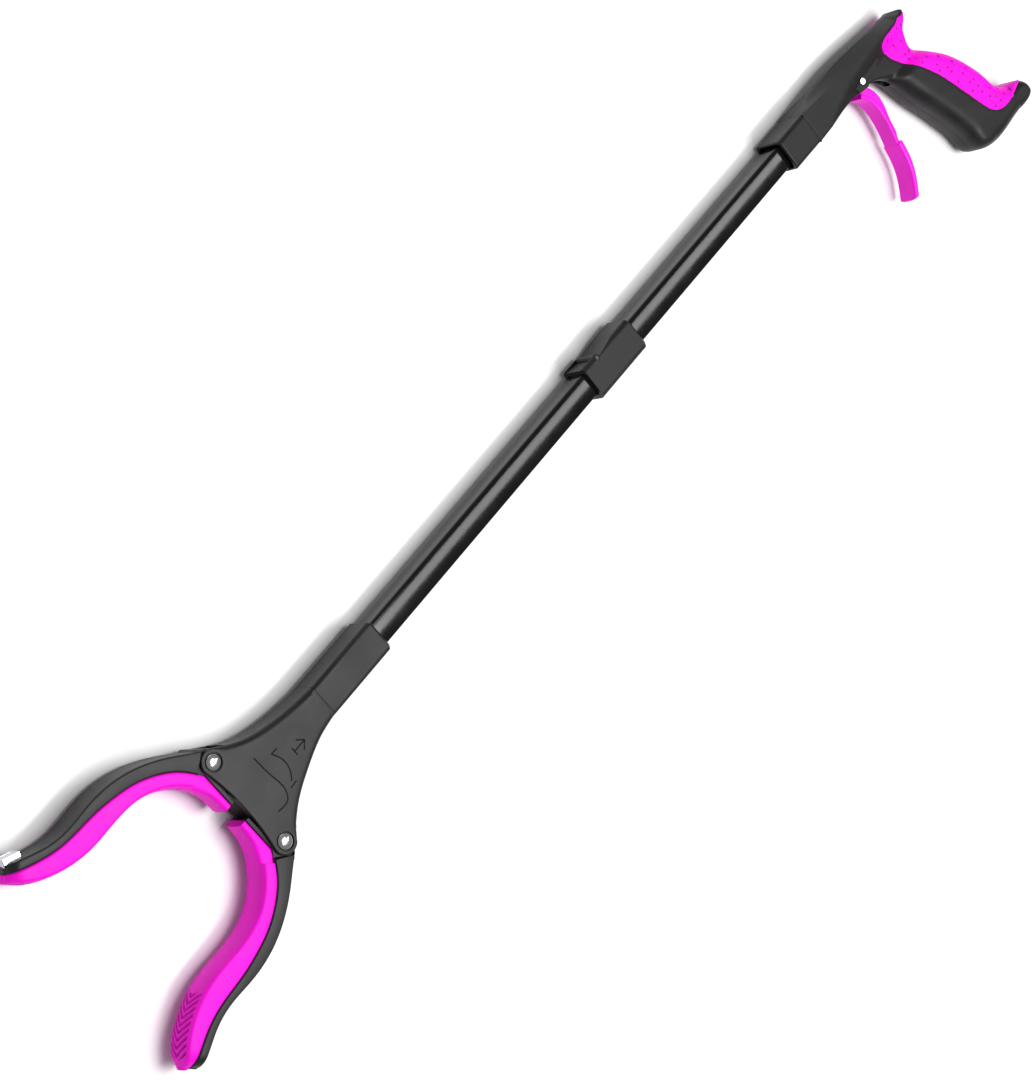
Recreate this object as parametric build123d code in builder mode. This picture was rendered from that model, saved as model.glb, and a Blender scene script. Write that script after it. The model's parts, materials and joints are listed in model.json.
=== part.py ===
"""Folding reacher grabber, lying on its side.

Frame: +X runs along the shaft towards the jaw tips, with x = 0 on the line of the two jaw pivots.
+Y points to the side of the trigger and the grip. +Z is the direction of every pin: jaws, trigger and
fold all turn about Z. The origin lies on the yoke's flat underside, on the shaft's centre line, so the
mid-plane of the tool is the plane z = MID. Sizes are in millimetres.
"""
from build123d import *
from math import cos, radians, sin, tan
import os

os.makedirs("parts", exist_ok=True)

# ---- driving dimensions -------------------------------------------------------------------------
YOKE_HALF = 10.5          # half thickness of the yoke, and of the jaws outside it
MID = YOKE_HALF           # height of the tool's mid-plane above the origin
FIT = 0.05                # radial clearance of a running fit
GAP = 0.3                 # clearance between moving faces

TUBE_HALF = 7.5           # square shaft tube, outside
TUBE_WALL = 1.0
TUBE_CORNER = 1.6

JAW_ANGLE = 28.9          # turn of each jaw, and of the trigger, from open to closed
PULL_RADIUS = 12.0        # from a jaw's pivot to its tail pin, and from the trigger pin to the cord
HEAD_SHIFT = 4.5          # the head's centre line lies this far towards the trigger side
PIVOT_HALF = 29.0         # half the distance between the jaw pivots
NARROW_HALF = 8.3         # half thickness of the jaws where they run between the yoke's plates
PLATE_IN = 8.6            # inner face of the yoke's plates, from the mid-plane
TAIL_LEAD = 8.0           # the tail pins stand this many degrees ahead of the pivots when open
POCKET_HALF = 3.4         # half height of the pocket in each jaw's tail for the slider
SLIDER_HALF = 3.0
RIVET_R = 2.0
RIVET_HEAD_R = 4.6
RIVET_POCKET_R = 5.1

X_SEAM = -67.5            # the head swivels here
X_NECK_END = -117.0
X_TUBE_TIP = -92.0        # front end of the front tube, inside the neck
NECK_HALF_Y = 10.0
NECK_CORNER = 2.6
SPIGOT_R = 7.0
CLIP_R = 7.8
CORD_BORE_R = 2.2
CORD_R = 0.75
CRIMP_R = 1.4

COLLAR_HALF = 10.5        # fold collar, outside
COLLAR_CORNER = 3.2
X_MOUTH = -314.0
X_COLLAR_END = -358.0
X_FOLD = -326.0
FOLD_LIMIT = 166.0
FOLD_PIN_R = 1.2
BARREL_R = 2.1
Y_FOLD = -(COLLAR_HALF - BARREL_R)

X_FERRULE = -513.0        # jaw-facing end of the handle's ferrule
X_SHELLS = -538.0         # seam between the ferrule and the handle shells
FERRULE_HALF_Y = 10.25
HOUSING_HALF = 11.75      # half thickness of the housing at the seam
GRIP_HALF = 13.25         # half thickness of the grip
X_TRIGGER = -589.0
Y_TRIGGER = 5.4
TRIGGER_PIN_R = 1.9
WEB_HALF = 2.8            # half thickness of the trigger's web
SLOT_HALF = 3.3           # half width of the slot that the web swings in
POST_R = 2.3              # the cord turns round this post

tail_rest = radians(TAIL_LEAD)
tail_x = PULL_RADIUS * sin(tail_rest)
tail_y = PIVOT_HALF - PULL_RADIUS * cos(tail_rest)
travel = PULL_RADIUS * (sin(tail_rest) + sin(radians(JAW_ANGLE) - tail_rest))
hook_x = X_TRIGGER - PULL_RADIUS * sin(radians(JAW_ANGLE / 2))
hook_y = Y_TRIGGER - PULL_RADIUS * cos(radians(JAW_ANGLE / 2))
post_x = X_TRIGGER - 26.0
post_y = hook_y / 2


def level(z):
    """Plane parallel to XY, z above the mid-plane."""
    return Plane.XY.offset(MID + z)


def across(x, y=0.0):
    """Plane across the shaft at x, with local x along +Y and local y along +Z."""
    return Plane(origin=(x, y, MID), x_dir=(0, 1, 0), z_dir=(1, 0, 0))


def save(piece, label):
    """Name a finished piece and write its STEP file."""
    piece.part.label = label
    export_step(piece.part, "parts/" + label + ".step")


# ---- shaft --------------------------------------------------------------------------------------
def square_tube(x_start, x_end):
    """A straight run of the square shaft tube."""
    with BuildPart() as tube:
        with BuildSketch(across(x_start)):
            RectangleRounded(2 * TUBE_HALF, 2 * TUBE_HALF, TUBE_CORNER)
            inside = 2 * (TUBE_HALF - TUBE_WALL)
            RectangleRounded(inside, inside, TUBE_CORNER - 0.6, mode=Mode.SUBTRACT)
        extrude(amount=x_end - x_start)
    return tube


def tube_guide(x_start, x_end):
    """Plastic plug inside a tube's end, with a hole that keeps the cord on the centre line."""
    inside = 2 * (TUBE_HALF - TUBE_WALL)
    with BuildPart() as guide:
        with BuildSketch(across(x_start)):
            RectangleRounded(inside, inside, TUBE_CORNER - 0.6)
            Circle(CORD_BORE_R, mode=Mode.SUBTRACT)
        extrude(amount=x_end - x_start)
    return guide


def cord_run(x_start, x_end):
    """A straight run of the pull cord on the shaft's centre line."""
    with BuildPart() as run:
        with BuildSketch(across(x_start)):
            Circle(CORD_R)
        extrude(amount=x_end - x_start)
    return run


X_REAR_TUBE = -334.0      # end of the rear tube, behind the fold pin
X_FRONT_TUBE = X_FOLD + 7.0

rear_tube = square_tube(X_SHELLS - 12.0, X_REAR_TUBE)
save(rear_tube, "rear_tube")
front_tube = square_tube(X_FRONT_TUBE, X_TUBE_TIP)
save(front_tube, "front_tube")
rear_tube_guide = tube_guide(X_REAR_TUBE - 10.0, X_REAR_TUBE)
save(rear_tube_guide, "rear_tube_guide")
front_tube_guide = tube_guide(X_TUBE_TIP - 10.0, X_TUBE_TIP)
save(front_tube_guide, "front_tube_guide")

# ---- fold joint: collar on the rear tube, knuckle on the front tube ------------------------------
flank = radians((180.0 - FOLD_LIMIT) / 2)
flank_run = BARREL_R / tan(flank)

with BuildPart() as fold_collar:
    with BuildSketch(across(X_COLLAR_END)):
        RectangleRounded(2 * COLLAR_HALF, 2 * COLLAR_HALF, COLLAR_CORNER)
    extrude(amount=X_MOUTH - X_COLLAR_END)
    rear_rim = fold_collar.faces().sort_by(Axis.X)[0]
    chamfer(rear_rim.edges(), length=1.9)
    with BuildSketch(across(X_COLLAR_END)):
        RectangleRounded(2 * TUBE_HALF, 2 * TUBE_HALF, TUBE_CORNER)
    extrude(amount=X_REAR_TUBE - X_COLLAR_END, mode=Mode.SUBTRACT)
    # the knuckle's room: open at the mouth and on the -Y side ahead of the pin
    with BuildSketch(level(0)):
        with BuildLine():
            Polyline(
                (X_MOUTH + 1, TUBE_HALF + GAP),
                (X_REAR_TUBE, TUBE_HALF + GAP),
                (X_REAR_TUBE, 1 - TUBE_HALF),
                (X_FOLD - BARREL_R - GAP, 1 - TUBE_HALF),
                (X_FOLD - BARREL_R - GAP, -COLLAR_HALF - 1),
                (X_MOUTH + 1, -COLLAR_HALF - 1),
                close=True,
            )
        make_face()
    extrude(amount=TUBE_HALF + GAP, both=True, mode=Mode.SUBTRACT)
    # the -Y face slopes towards the pin, and the folded tube comes to rest on the slope
    with BuildSketch(level(0)):
        with BuildLine():
            Polyline(
                (X_FOLD, -COLLAR_HALF - 1),
                (X_FOLD, Y_FOLD + 0.1),
                (X_FOLD - 1.05 * flank_run, -COLLAR_HALF),
                (X_FOLD - 1.05 * flank_run, -COLLAR_HALF - 1),
                close=True,
            )
        make_face()
        with Locations((X_FOLD, Y_FOLD)):
            Circle(BARREL_R, mode=Mode.SUBTRACT)
    extrude(amount=COLLAR_HALF + 1, both=True, mode=Mode.SUBTRACT)
    with Locations(Location((X_FOLD, Y_FOLD, MID))):
        Cylinder(FOLD_PIN_R, 2 * COLLAR_HALF + 2, mode=Mode.SUBTRACT)
save(fold_collar, "fold_collar")

with BuildPart() as fold_pin:
    with Locations(Location((X_FOLD, Y_FOLD, MID))):
        Cylinder(FOLD_PIN_R, 2 * COLLAR_HALF - 1.0)
save(fold_pin, "fold_pin")

with BuildPart() as fold_knuckle:
    with BuildSketch(level(0)):
        with BuildLine():
            Polyline(
                (X_FOLD, TUBE_HALF),
                (X_FRONT_TUBE, TUBE_HALF),
                (X_FRONT_TUBE, -TUBE_HALF),
                (X_MOUTH, -TUBE_HALF),
                (X_MOUTH, Y_FOLD - (X_MOUTH - X_FOLD) * tan(flank)),
                (X_FOLD, Y_FOLD),
                close=True,
            )
        make_face()
        with Locations((X_FOLD, Y_FOLD)):
            Circle(BARREL_R)
    extrude(amount=TUBE_HALF, both=True)
    with BuildSketch(across(X_FRONT_TUBE)):
        plug = 2 * (TUBE_HALF - TUBE_WALL)
        RectangleRounded(plug, plug, TUBE_CORNER - 0.6)
    extrude(amount=22.0)
    with BuildSketch(across(X_FOLD - 5)):
        Circle(CORD_BORE_R)
    extrude(amount=50.0, mode=Mode.SUBTRACT)
    with Locations(Location((X_FOLD, Y_FOLD, MID))):
        Cylinder(FOLD_PIN_R + FIT, 4 * TUBE_HALF, mode=Mode.SUBTRACT)
save(fold_knuckle, "fold_knuckle")

# ---- neck: socket on the front tube, in which the head swivels -----------------------------------
X_SPIGOT = X_SEAM - 17.0
X_CLIP = X_SEAM - 12.0
CLIP_LENGTH = 1.4

with BuildPart() as neck_socket:
    with BuildSketch(across(X_NECK_END)):
        RectangleRounded(2 * NECK_HALF_Y, 2 * YOKE_HALF, NECK_CORNER)
    extrude(amount=X_SEAM - X_NECK_END)
    rear_rim = neck_socket.faces().sort_by(Axis.X)[0]
    chamfer(rear_rim.edges(), length=1.6)
    with BuildSketch(across(X_NECK_END)):
        RectangleRounded(2 * TUBE_HALF, 2 * TUBE_HALF, TUBE_CORNER)
    extrude(amount=X_TUBE_TIP - X_NECK_END, mode=Mode.SUBTRACT)
    with BuildSketch(across(X_TUBE_TIP)):
        Circle(CORD_BORE_R)
    extrude(amount=X_SEAM - X_TUBE_TIP, mode=Mode.SUBTRACT)
    with BuildSketch(across(X_SPIGOT - GAP)):
        Circle(SPIGOT_R + FIT)
    extrude(amount=X_SEAM - X_SPIGOT + GAP, mode=Mode.SUBTRACT)
    with BuildSketch(across(X_CLIP - CLIP_LENGTH / 2 - GAP)):
        Circle(CLIP_R + GAP)
    extrude(amount=CLIP_LENGTH + 2 * GAP, mode=Mode.SUBTRACT)
save(neck_socket, "neck_socket")

with BuildPart() as swivel_clip:
    with BuildSketch(across(X_CLIP - CLIP_LENGTH / 2)):
        Circle(CLIP_R)
        Circle(SPIGOT_R - 1.2, mode=Mode.SUBTRACT)
        with Locations((0, CLIP_R)):
            Rectangle(4.0, 2 * CLIP_R, mode=Mode.SUBTRACT)
    extrude(amount=CLIP_LENGTH)
save(swivel_clip, "swivel_clip")

# ---- yoke: two halves that hold the jaws ---------------------------------------------------------
LOBE_R = 7.2
YOKE_WALL = 2.2
X_SPRING_SEAT = X_SEAM + 6.0
pivots = {"left": (0.0, HEAD_SHIFT - PIVOT_HALF), "right": (0.0, HEAD_SHIFT + PIVOT_HALF)}
flare_right = [(X_SEAM, NECK_HALF_Y), (-55.0, 11.8), (-38.0, 17.6), (-20.0, 26.4), (-5.3, 38.2)]
flare_left = [(X_SEAM, -NECK_HALF_Y), (-55.0, -11.2), (-38.0, -14.2), (-20.0, -20.2), (-5.3, -29.4)]


def yoke_outline():
    """Outline of the yoke's plates: neck, two flares, a lobe round each pivot, a shallow front arc."""
    with BuildSketch() as outline:
        with BuildLine():
            right = Spline(*flare_right)
            left = Spline(*flare_left)
            Line(left @ 0, right @ 0)
            Line(right @ 1, pivots["right"])
            Line(left @ 1, pivots["left"])
            Line(pivots["right"], (LOBE_R, pivots["right"][1]))
            Line(pivots["left"], (LOBE_R, pivots["left"][1]))
            ThreePointArc(
                (LOBE_R, pivots["left"][1]),
                (LOBE_R - 3.0, HEAD_SHIFT),
                (LOBE_R, pivots["right"][1]),
            )
        make_face()
        with Locations(pivots["left"], pivots["right"]):
            Circle(LOBE_R)
    return outline.sketch


def yoke_cavity():
    """Room for the slider, spring and jaw tails: as the outline, one wall smaller, open in front."""
    with BuildSketch() as room:
        with BuildLine():
            inner_right = [(x, y - YOKE_WALL) for x, y in flare_right[1:]]
            inner_left = [(x, y + YOKE_WALL) for x, y in flare_left[1:]]
            right = Spline((X_SPRING_SEAT, NECK_HALF_Y - YOKE_WALL - 0.6), *inner_right)
            left = Spline((X_SPRING_SEAT, YOKE_WALL + 0.6 - NECK_HALF_Y), *inner_left)
            Line(left @ 0, right @ 0)
            front = 2 * LOBE_R
            Polyline(right @ 1, (front, pivots["right"][1] + 6), (front, pivots["left"][1] - 6), left @ 1)
        make_face()
        # the side walls stop short of the jaws' bosses, which swing in the open
        with Locations(pivots["left"], pivots["right"]):
            Circle(LOBE_R + 4.2)
    return room.sketch


def yoke_half(side):
    """One half of the yoke: side is +1 for the front half and -1 for the rear half."""
    facing = Plane(origin=(0, 0, MID), x_dir=(1, 0, 0), z_dir=(0, 0, side))
    flip = 1 if side > 0 else -1
    with BuildPart() as half:
        with BuildSketch(Plane.XY.offset(MID)):
            add(yoke_outline())
        extrude(amount=side * YOKE_HALF)
        with BuildSketch(Plane.XY.offset(MID)):
            add(yoke_cavity())
        extrude(amount=side * PLATE_IN, mode=Mode.SUBTRACT)
        # centre rib in the mouth, between the two liners
        with BuildSketch(Plane.XY.offset(MID)):
            with Locations((6.0, HEAD_SHIFT)):
                Rectangle(9.0, 3.0)
        extrude(amount=side * (PLATE_IN + 0.4))
        # half of the round spigot that turns in the neck
        with BuildSketch(across(X_SPIGOT)):
            Circle(SPIGOT_R)
            with Locations((0, -side * 2 * SPIGOT_R)):
                Rectangle(4 * SPIGOT_R, 4 * SPIGOT_R, mode=Mode.SUBTRACT)
        extrude(amount=X_SEAM - X_SPIGOT)
        with BuildSketch(across(X_CLIP - CLIP_LENGTH / 2)):
            Circle(SPIGOT_R + 1)
            Circle(SPIGOT_R - 1.2, mode=Mode.SUBTRACT)
        extrude(amount=CLIP_LENGTH, mode=Mode.SUBTRACT)
        with BuildSketch(across(X_SPIGOT - 1)):
            Circle(CORD_BORE_R)
        extrude(amount=X_SPRING_SEAT - X_SPIGOT + 2, mode=Mode.SUBTRACT)
        with BuildSketch(facing):
            with Locations(*[(x, y * flip) for x, y in pivots.values()]):
                Circle(RIVET_R)
        extrude(amount=YOKE_HALF + 1, mode=Mode.SUBTRACT)
        with BuildSketch(facing.offset(YOKE_HALF - 1.0)):
            with Locations(*[(x, y * flip) for x, y in pivots.values()]):
                Circle(RIVET_POCKET_R)
        extrude(amount=2.0, mode=Mode.SUBTRACT)
    return half


yoke_front = yoke_half(1)
save(yoke_front, "yoke_front")
yoke_rear = yoke_half(-1)
save(yoke_rear, "yoke_rear")

# ---- jaw rivets ----------------------------------------------------------------------------------
HEAD_BASE = YOKE_HALF - 1.0
for name, pivot in pivots.items():
    with BuildPart() as rivet:
        with BuildSketch(level(-HEAD_BASE)):
            with Locations(pivot):
                Circle(RIVET_R)
        extrude(amount=2 * HEAD_BASE)
        with BuildSketch(level(HEAD_BASE)):
            with Locations(pivot):
                Circle(RIVET_HEAD_R)
        extrude(amount=1.6)
        fillet(rivet.edges().sort_by(Axis.Z)[-1], radius=1.2)
        with BuildSketch(level(-HEAD_BASE)):
            with Locations(pivot):
                Circle(RIVET_HEAD_R)
        extrude(amount=-0.9)
        fillet(rivet.edges().sort_by(Axis.Z)[0], radius=0.5)
    save(rivet, "jaw_rivet_" + name)

# ---- jaws ----------------------------------------------------------------------------------------
# Points are (x, distance from the head's centre line) for the open jaw.
BOSS_R = 7.0
WIDE_START_R = 7.8        # beyond this radius from its pivot a jaw is as thick as the yoke
EYE_R = 2.9
TAIL_FRONT = 7.4          # the liner lies on the tail's front face here
TAIL_END = 5.8
seat = [(116.0, 70.5), (104.0, 65.2), (91.0, 60.9), (78.0, 59.2), (64.0, 58.4), (52.0, 56.6),
        (39.0, 53.2), (27.0, 47.3), (16.0, 38.2), (9.6, 29.3)]
back = [(-5.2, 33.7), (4.0, 40.2), (15.0, 48.4), (30.0, 57.2), (47.0, 62.8), (64.0, 64.2),
        (80.0, 63.8), (93.0, 66.2), (104.0, 70.6), (113.2, 74.2)]
inner = [(12.4, 5.4), (13.4, 16.0), (17.4, 25.5), (24.4, 34.0), (34.0, 41.0), (44.0, 44.6),
         (54.0, 45.8), (66.0, 45.7), (79.0, 45.9), (92.0, 48.6), (104.0, 53.7), (113.5, 60.3),
         (119.3, 67.0)]


def in_head(points, side):
    """Points given from the head's centre line, placed in the frame on one side of it."""
    return [(x, HEAD_SHIFT + side * y) for x, y in points]


def jaw_arm(side):
    """Hard plastic jaw: a curved arm, the boss round its rivet and a forked tail."""
    pivot = (0.0, HEAD_SHIFT + side * PIVOT_HALF)
    tail_pin = (tail_x, HEAD_SHIFT + side * tail_y)
    with BuildSketch() as arm_outline:
        with BuildLine():
            outside = Spline(*in_head(back, side))
            inside = Spline(*in_head(seat, side))
            Line(outside @ 1, inside @ 0)
            root = in_head([(TAIL_FRONT, 27.0), (TAIL_FRONT, TAIL_END), (5.2, TAIL_END)], side)
            heel = in_head([(5.2, 13.0), (-2.4, 15.6), (-4.4, 24.0)], side)
            Polyline(inside @ 1, *root, *heel, outside @ 0)
        make_face()
    with BuildPart() as arm:
        with BuildSketch(level(0)):
            add(arm_outline.sketch)
            with Locations(pivot):
                Circle(BOSS_R)
        extrude(amount=NARROW_HALF, both=True)
        with BuildSketch(level(0)):
            add(arm_outline.sketch)
            with Locations(pivot):
                Circle(WIDE_START_R, mode=Mode.SUBTRACT)
            with Locations((0, HEAD_SHIFT + side * (PIVOT_HALF + 1 - 50))):
                Rectangle(40, 100, mode=Mode.SUBTRACT)
        extrude(amount=YOKE_HALF - 0.1, both=True)
        with BuildSketch(level(0)):
            with BuildLine():
                pocket = [(5.4, 4.0), (5.4, 21.8), (-8.0, 21.8), (-8.0, 4.0)]
                Polyline(*in_head(pocket, side), close=True)
            make_face()
        extrude(amount=POCKET_HALF, both=True, mode=Mode.SUBTRACT)
        with Locations(Location((pivot[0], pivot[1], MID))):
            Cylinder(RIVET_R + FIT, 4 * YOKE_HALF, mode=Mode.SUBTRACT)
        with Locations(Location((tail_pin[0], tail_pin[1], MID))):
            Cylinder(1.5, 4 * YOKE_HALF, mode=Mode.SUBTRACT)
    return arm


def jaw_liner(side):
    """Soft liner on the inside of a jaw, from the mouth of the yoke to the pad at the tip."""
    with BuildSketch() as liner_outline:
        with BuildLine():
            outside = Spline(*in_head(seat, side))
            inside = Spline(*in_head(inner, side))
            root = in_head([(TAIL_FRONT, 27.0), (TAIL_FRONT, TAIL_END)], side)
            Polyline(outside @ 1, *root, inside @ 0)
            Line(inside @ 1, outside @ 0)
        make_face()
    with BuildPart() as liner:
        with BuildSketch(level(0)):
            add(liner_outline.sketch)
        extrude(amount=NARROW_HALF, both=True)
        with BuildSketch(level(0)):
            add(liner_outline.sketch)
            with Locations((0, HEAD_SHIFT + side * (PIVOT_HALF + 1 - 50))):
                Rectangle(60, 100, mode=Mode.SUBTRACT)
        extrude(amount=YOKE_HALF - 0.1, both=True)
    return liner


for name, side in {"left": -1, "right": 1}.items():
    save(jaw_arm(side), "jaw_arm_" + name)
    save(jaw_liner(side), "jaw_liner_" + name)
    with BuildPart() as tail_pin:
        with Locations(Location((tail_x, HEAD_SHIFT + side * tail_y, MID))):
            Cylinder(1.5, 2 * NARROW_HALF)
    save(tail_pin, "tail_pin_" + name)

# ---- magnet on the back of the left jaw's tip ----------------------------------------------------
MAGNET_LENGTH = 9.0
MAGNET_WIDTH = 9.0
MAGNET_HEIGHT = 3.0
tip_slope = Vector(back[-1][0] - back[-2][0], -(back[-1][1] - back[-2][1]), 0).normalized()
tip_normal = Vector(tip_slope.Y, -tip_slope.X, 0)
tip_from = Vector(back[-2][0] + 1.5, HEAD_SHIFT - back[-2][1] - 0.45, MID)
magnet_plane = Plane(origin=tip_from + tip_slope * 3.5, x_dir=tip_slope, z_dir=tip_normal)

with BuildPart() as magnet_holder:
    with BuildSketch(magnet_plane.offset(-1.0)):
        RectangleRounded(MAGNET_LENGTH + 2, MAGNET_WIDTH + 2, 0.8)
    extrude(amount=MAGNET_HEIGHT + 1)
    with BuildSketch(magnet_plane.offset(0.8)):
        Rectangle(MAGNET_LENGTH, MAGNET_WIDTH)
    extrude(amount=MAGNET_HEIGHT, mode=Mode.SUBTRACT)
    with BuildSketch(level(0)):
        with BuildLine():
            outside = Spline(*in_head(back, -1))
            inside = Spline(*in_head(seat, -1))
            Line(outside @ 0, inside @ 1)
            Line(outside @ 1, inside @ 0)
        make_face()
    extrude(amount=YOKE_HALF, both=True, mode=Mode.SUBTRACT)
save(magnet_holder, "magnet_holder")

with BuildPart() as magnet:
    with BuildSketch(magnet_plane.offset(0.8)):
        Rectangle(MAGNET_LENGTH, MAGNET_WIDTH)
    extrude(amount=MAGNET_HEIGHT - 0.9)
save(magnet, "magnet")

# ---- slider, spring and cord ---------------------------------------------------------------------
X_BLOCK = -24.0
BLOCK_LENGTH = 10.0
STRAP = 4.4
SLOT_ROOM = 0.25


def strap(start, end):
    """Four corners of the straight bar from start to end, STRAP wide."""
    along = (end - start).normalized()
    half = Vector(-along.Y, along.X) * (STRAP / 2)
    return [start + half, end + half, end - half, start - half]


with BuildPart() as slider:
    with BuildSketch(level(0)):
        with Locations((X_BLOCK, 0)):
            Rectangle(BLOCK_LENGTH, 9.0)
        for side in (-1, 1):
            eye = Vector(tail_x, HEAD_SHIFT + side * tail_y)
            with BuildLine():
                Polyline(*strap(Vector(X_BLOCK, side * 3.4), eye), close=True)
            make_face()
            with Locations((eye.X, eye.Y)):
                Circle(EYE_R)
        with Locations(*[(tail_x, HEAD_SHIFT + side * (tail_y + 0.2)) for side in (-1, 1)]):
            SlotOverall(2 * (1.5 + 3 * SLOT_ROOM), 2 * (1.5 + SLOT_ROOM), rotation=90, mode=Mode.SUBTRACT)
    extrude(amount=SLIDER_HALF, both=True)
    with BuildSketch(across(X_BLOCK - BLOCK_LENGTH)):
        Circle(4.4)
    extrude(amount=BLOCK_LENGTH / 2 + 1)
    with BuildSketch(across(X_BLOCK - 2 * BLOCK_LENGTH)):
        Circle(CORD_R)
    extrude(amount=3 * BLOCK_LENGTH, mode=Mode.SUBTRACT)
save(slider, "slider")

X_CORD_TIP = X_BLOCK + BLOCK_LENGTH / 2
with BuildPart() as cord_front:
    with BuildSketch(across(X_FOLD + 4.5)):
        Circle(CORD_R)
    extrude(amount=X_CORD_TIP - X_FOLD - 4.5)
    with BuildSketch(across(X_CORD_TIP)):
        Circle(CRIMP_R)
    extrude(amount=3.0)
save(cord_front, "cord_front")

cord_rear = cord_run(post_x + travel + 1.0, X_FOLD - 1.0)
save(cord_rear, "cord_rear")

SPRING_R = 3.4
SPRING_WIRE_R = 0.4
SPRING_TURNS = 9
spring_start = X_SPRING_SEAT + SPRING_WIRE_R + 0.1
spring_length = X_BLOCK - BLOCK_LENGTH - SPRING_WIRE_R - 0.1 - spring_start
with BuildPart() as return_spring:
    with BuildLine():
        coil = Helix(
            pitch=spring_length / SPRING_TURNS,
            height=spring_length,
            radius=SPRING_R,
            center=(spring_start, 0, MID),
            direction=(1, 0, 0),
        )
    with BuildSketch(Plane(origin=coil @ 0, z_dir=coil % 0)):
        Circle(SPRING_WIRE_R)
    sweep(is_frenet=True)
save(return_spring, "return_spring")

# ---- handle --------------------------------------------------------------------------------------
CORE_DEPTH = (2.8, 1.1)   # the overlay is this deep on the palm side
OVERLAY_SKIN = 2.0
SLOT_R = 29.0
STEP = 1.5                # step in the outline where the handle's sides round off
top_edge = [(X_SHELLS, -FERRULE_HALF_Y), (-560.0, -11.9), (-582.0, -12.3), (-604.0, -10.9),
            (-626.0, -8.4), (-643.0, -6.4)]
beak = [(-647.6, -4.4), (-647.0, -1.4)]
palm = [(-640.6, 6.0), (-638.4, 14.0), (-646.4, 26.0), (-657.0, 37.6), (-665.0, 51.5), (-670.0, 64.5),
        (-673.0, 74.4), (-678.0, 79.6), (-686.0, 82.6)]
heel = [(-692.6, 87.0), (-693.6, 94.4)]
butt = [(-676.0, 99.2), (-658.0, 100.4), (-643.0, 98.8), (-635.0, 93.8)]
finger_side = [(-633.2, 84.0), (-629.8, 72.0), (-625.4, 60.0), (-619.0, 45.0), (-614.6, 32.0), (-609.0, 20.0)]
underside = [(-600.0, 13.0), (-590.0, 11.0), (-577.0, 9.6), (-560.0, 9.6), (X_SHELLS, FERRULE_HALF_Y)]
overlay_edge = [(-643.0, -9.0), (-640.0, -3.6), (-628.0, -1.8), (-617.0, 1.4), (-617.4, 7.0), (-627.6, 23.6),
                (-639.8, 44.0), (-646.4, 60.0), (-652.0, 74.0), (-657.4, 83.4), (-668.0, 87.4), (-684.0, 84.4),
                (-700.0, 80.0)]
screws = [(-562.0, 5.4), (-622.0, 37.0), (-646.0, 92.0)]
SCREW_R = 1.3
SCREW_HEAD_R = 2.6
BOSS_SCREW_R = 3.2
CAVITY_HALF = 9.2

with BuildLine():
    rim = Spline(*top_edge, *beak, *palm, *heel, *butt, *finger_side, *underside)
RIM_SAMPLES = 90


def handle_outline(depth):
    """Outline of the handle, drawn in by depth from its rim."""
    shrunk = []
    for step in range(RIM_SAMPLES + 1):
        point = rim @ (step / RIM_SAMPLES)
        along = rim % (step / RIM_SAMPLES)
        shrunk.append((point.X + depth * along.Y, point.Y - depth * along.X))
    shrunk[0] = (X_SHELLS, shrunk[0][1])
    shrunk[-1] = (X_SHELLS, shrunk[-1][1])
    with BuildSketch() as outline:
        with BuildLine():
            edge = Spline(*shrunk)
            Line(edge @ 1, edge @ 0)
        make_face()
    return outline.sketch


with BuildPart() as handle_form:
    # three steps of thickness stand for the rounded sides
    with BuildSketch(level(0)):
        add(handle_outline(0.0))
    extrude(amount=HOUSING_HALF - STEP, both=True)
    with BuildSketch(level(0)):
        add(handle_outline(STEP))
    extrude(amount=HOUSING_HALF, both=True)
    with BuildSketch(level(0)):
        add(handle_outline(2 * STEP))
        with Locations((-604.0 - 2 * STEP - 50.0, 16.0 + 2 * STEP + 50.0)):
            Rectangle(100, 100, mode=Mode.INTERSECT)
    extrude(amount=GRIP_HALF, both=True)

with BuildPart() as grip_overlay:
    add(handle_form.part)
    with BuildSketch(level(0)):
        with BuildLine():
            Spline(*overlay_edge)
            Polyline(overlay_edge[-1], (-700.0, -9.0), overlay_edge[0])
        make_face()
    extrude(amount=2 * GRIP_HALF, both=True, mode=Mode.INTERSECT)
    # the shells' core fills the inside of the overlay
    with BuildSketch(level(0)):
        with BuildLine():
            core = Spline(*[(x + CORE_DEPTH[0], y + CORE_DEPTH[1]) for x, y in palm])
            Polyline(core @ 1, (-683.2, 110.0), (-600.0, 110.0), ((core @ 0).X + 40.0, (core @ 0).Y), core @ 0)
        make_face()
    extrude(amount=GRIP_HALF - OVERLAY_SKIN, both=True, mode=Mode.SUBTRACT)
save(grip_overlay, "grip_overlay")

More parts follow.
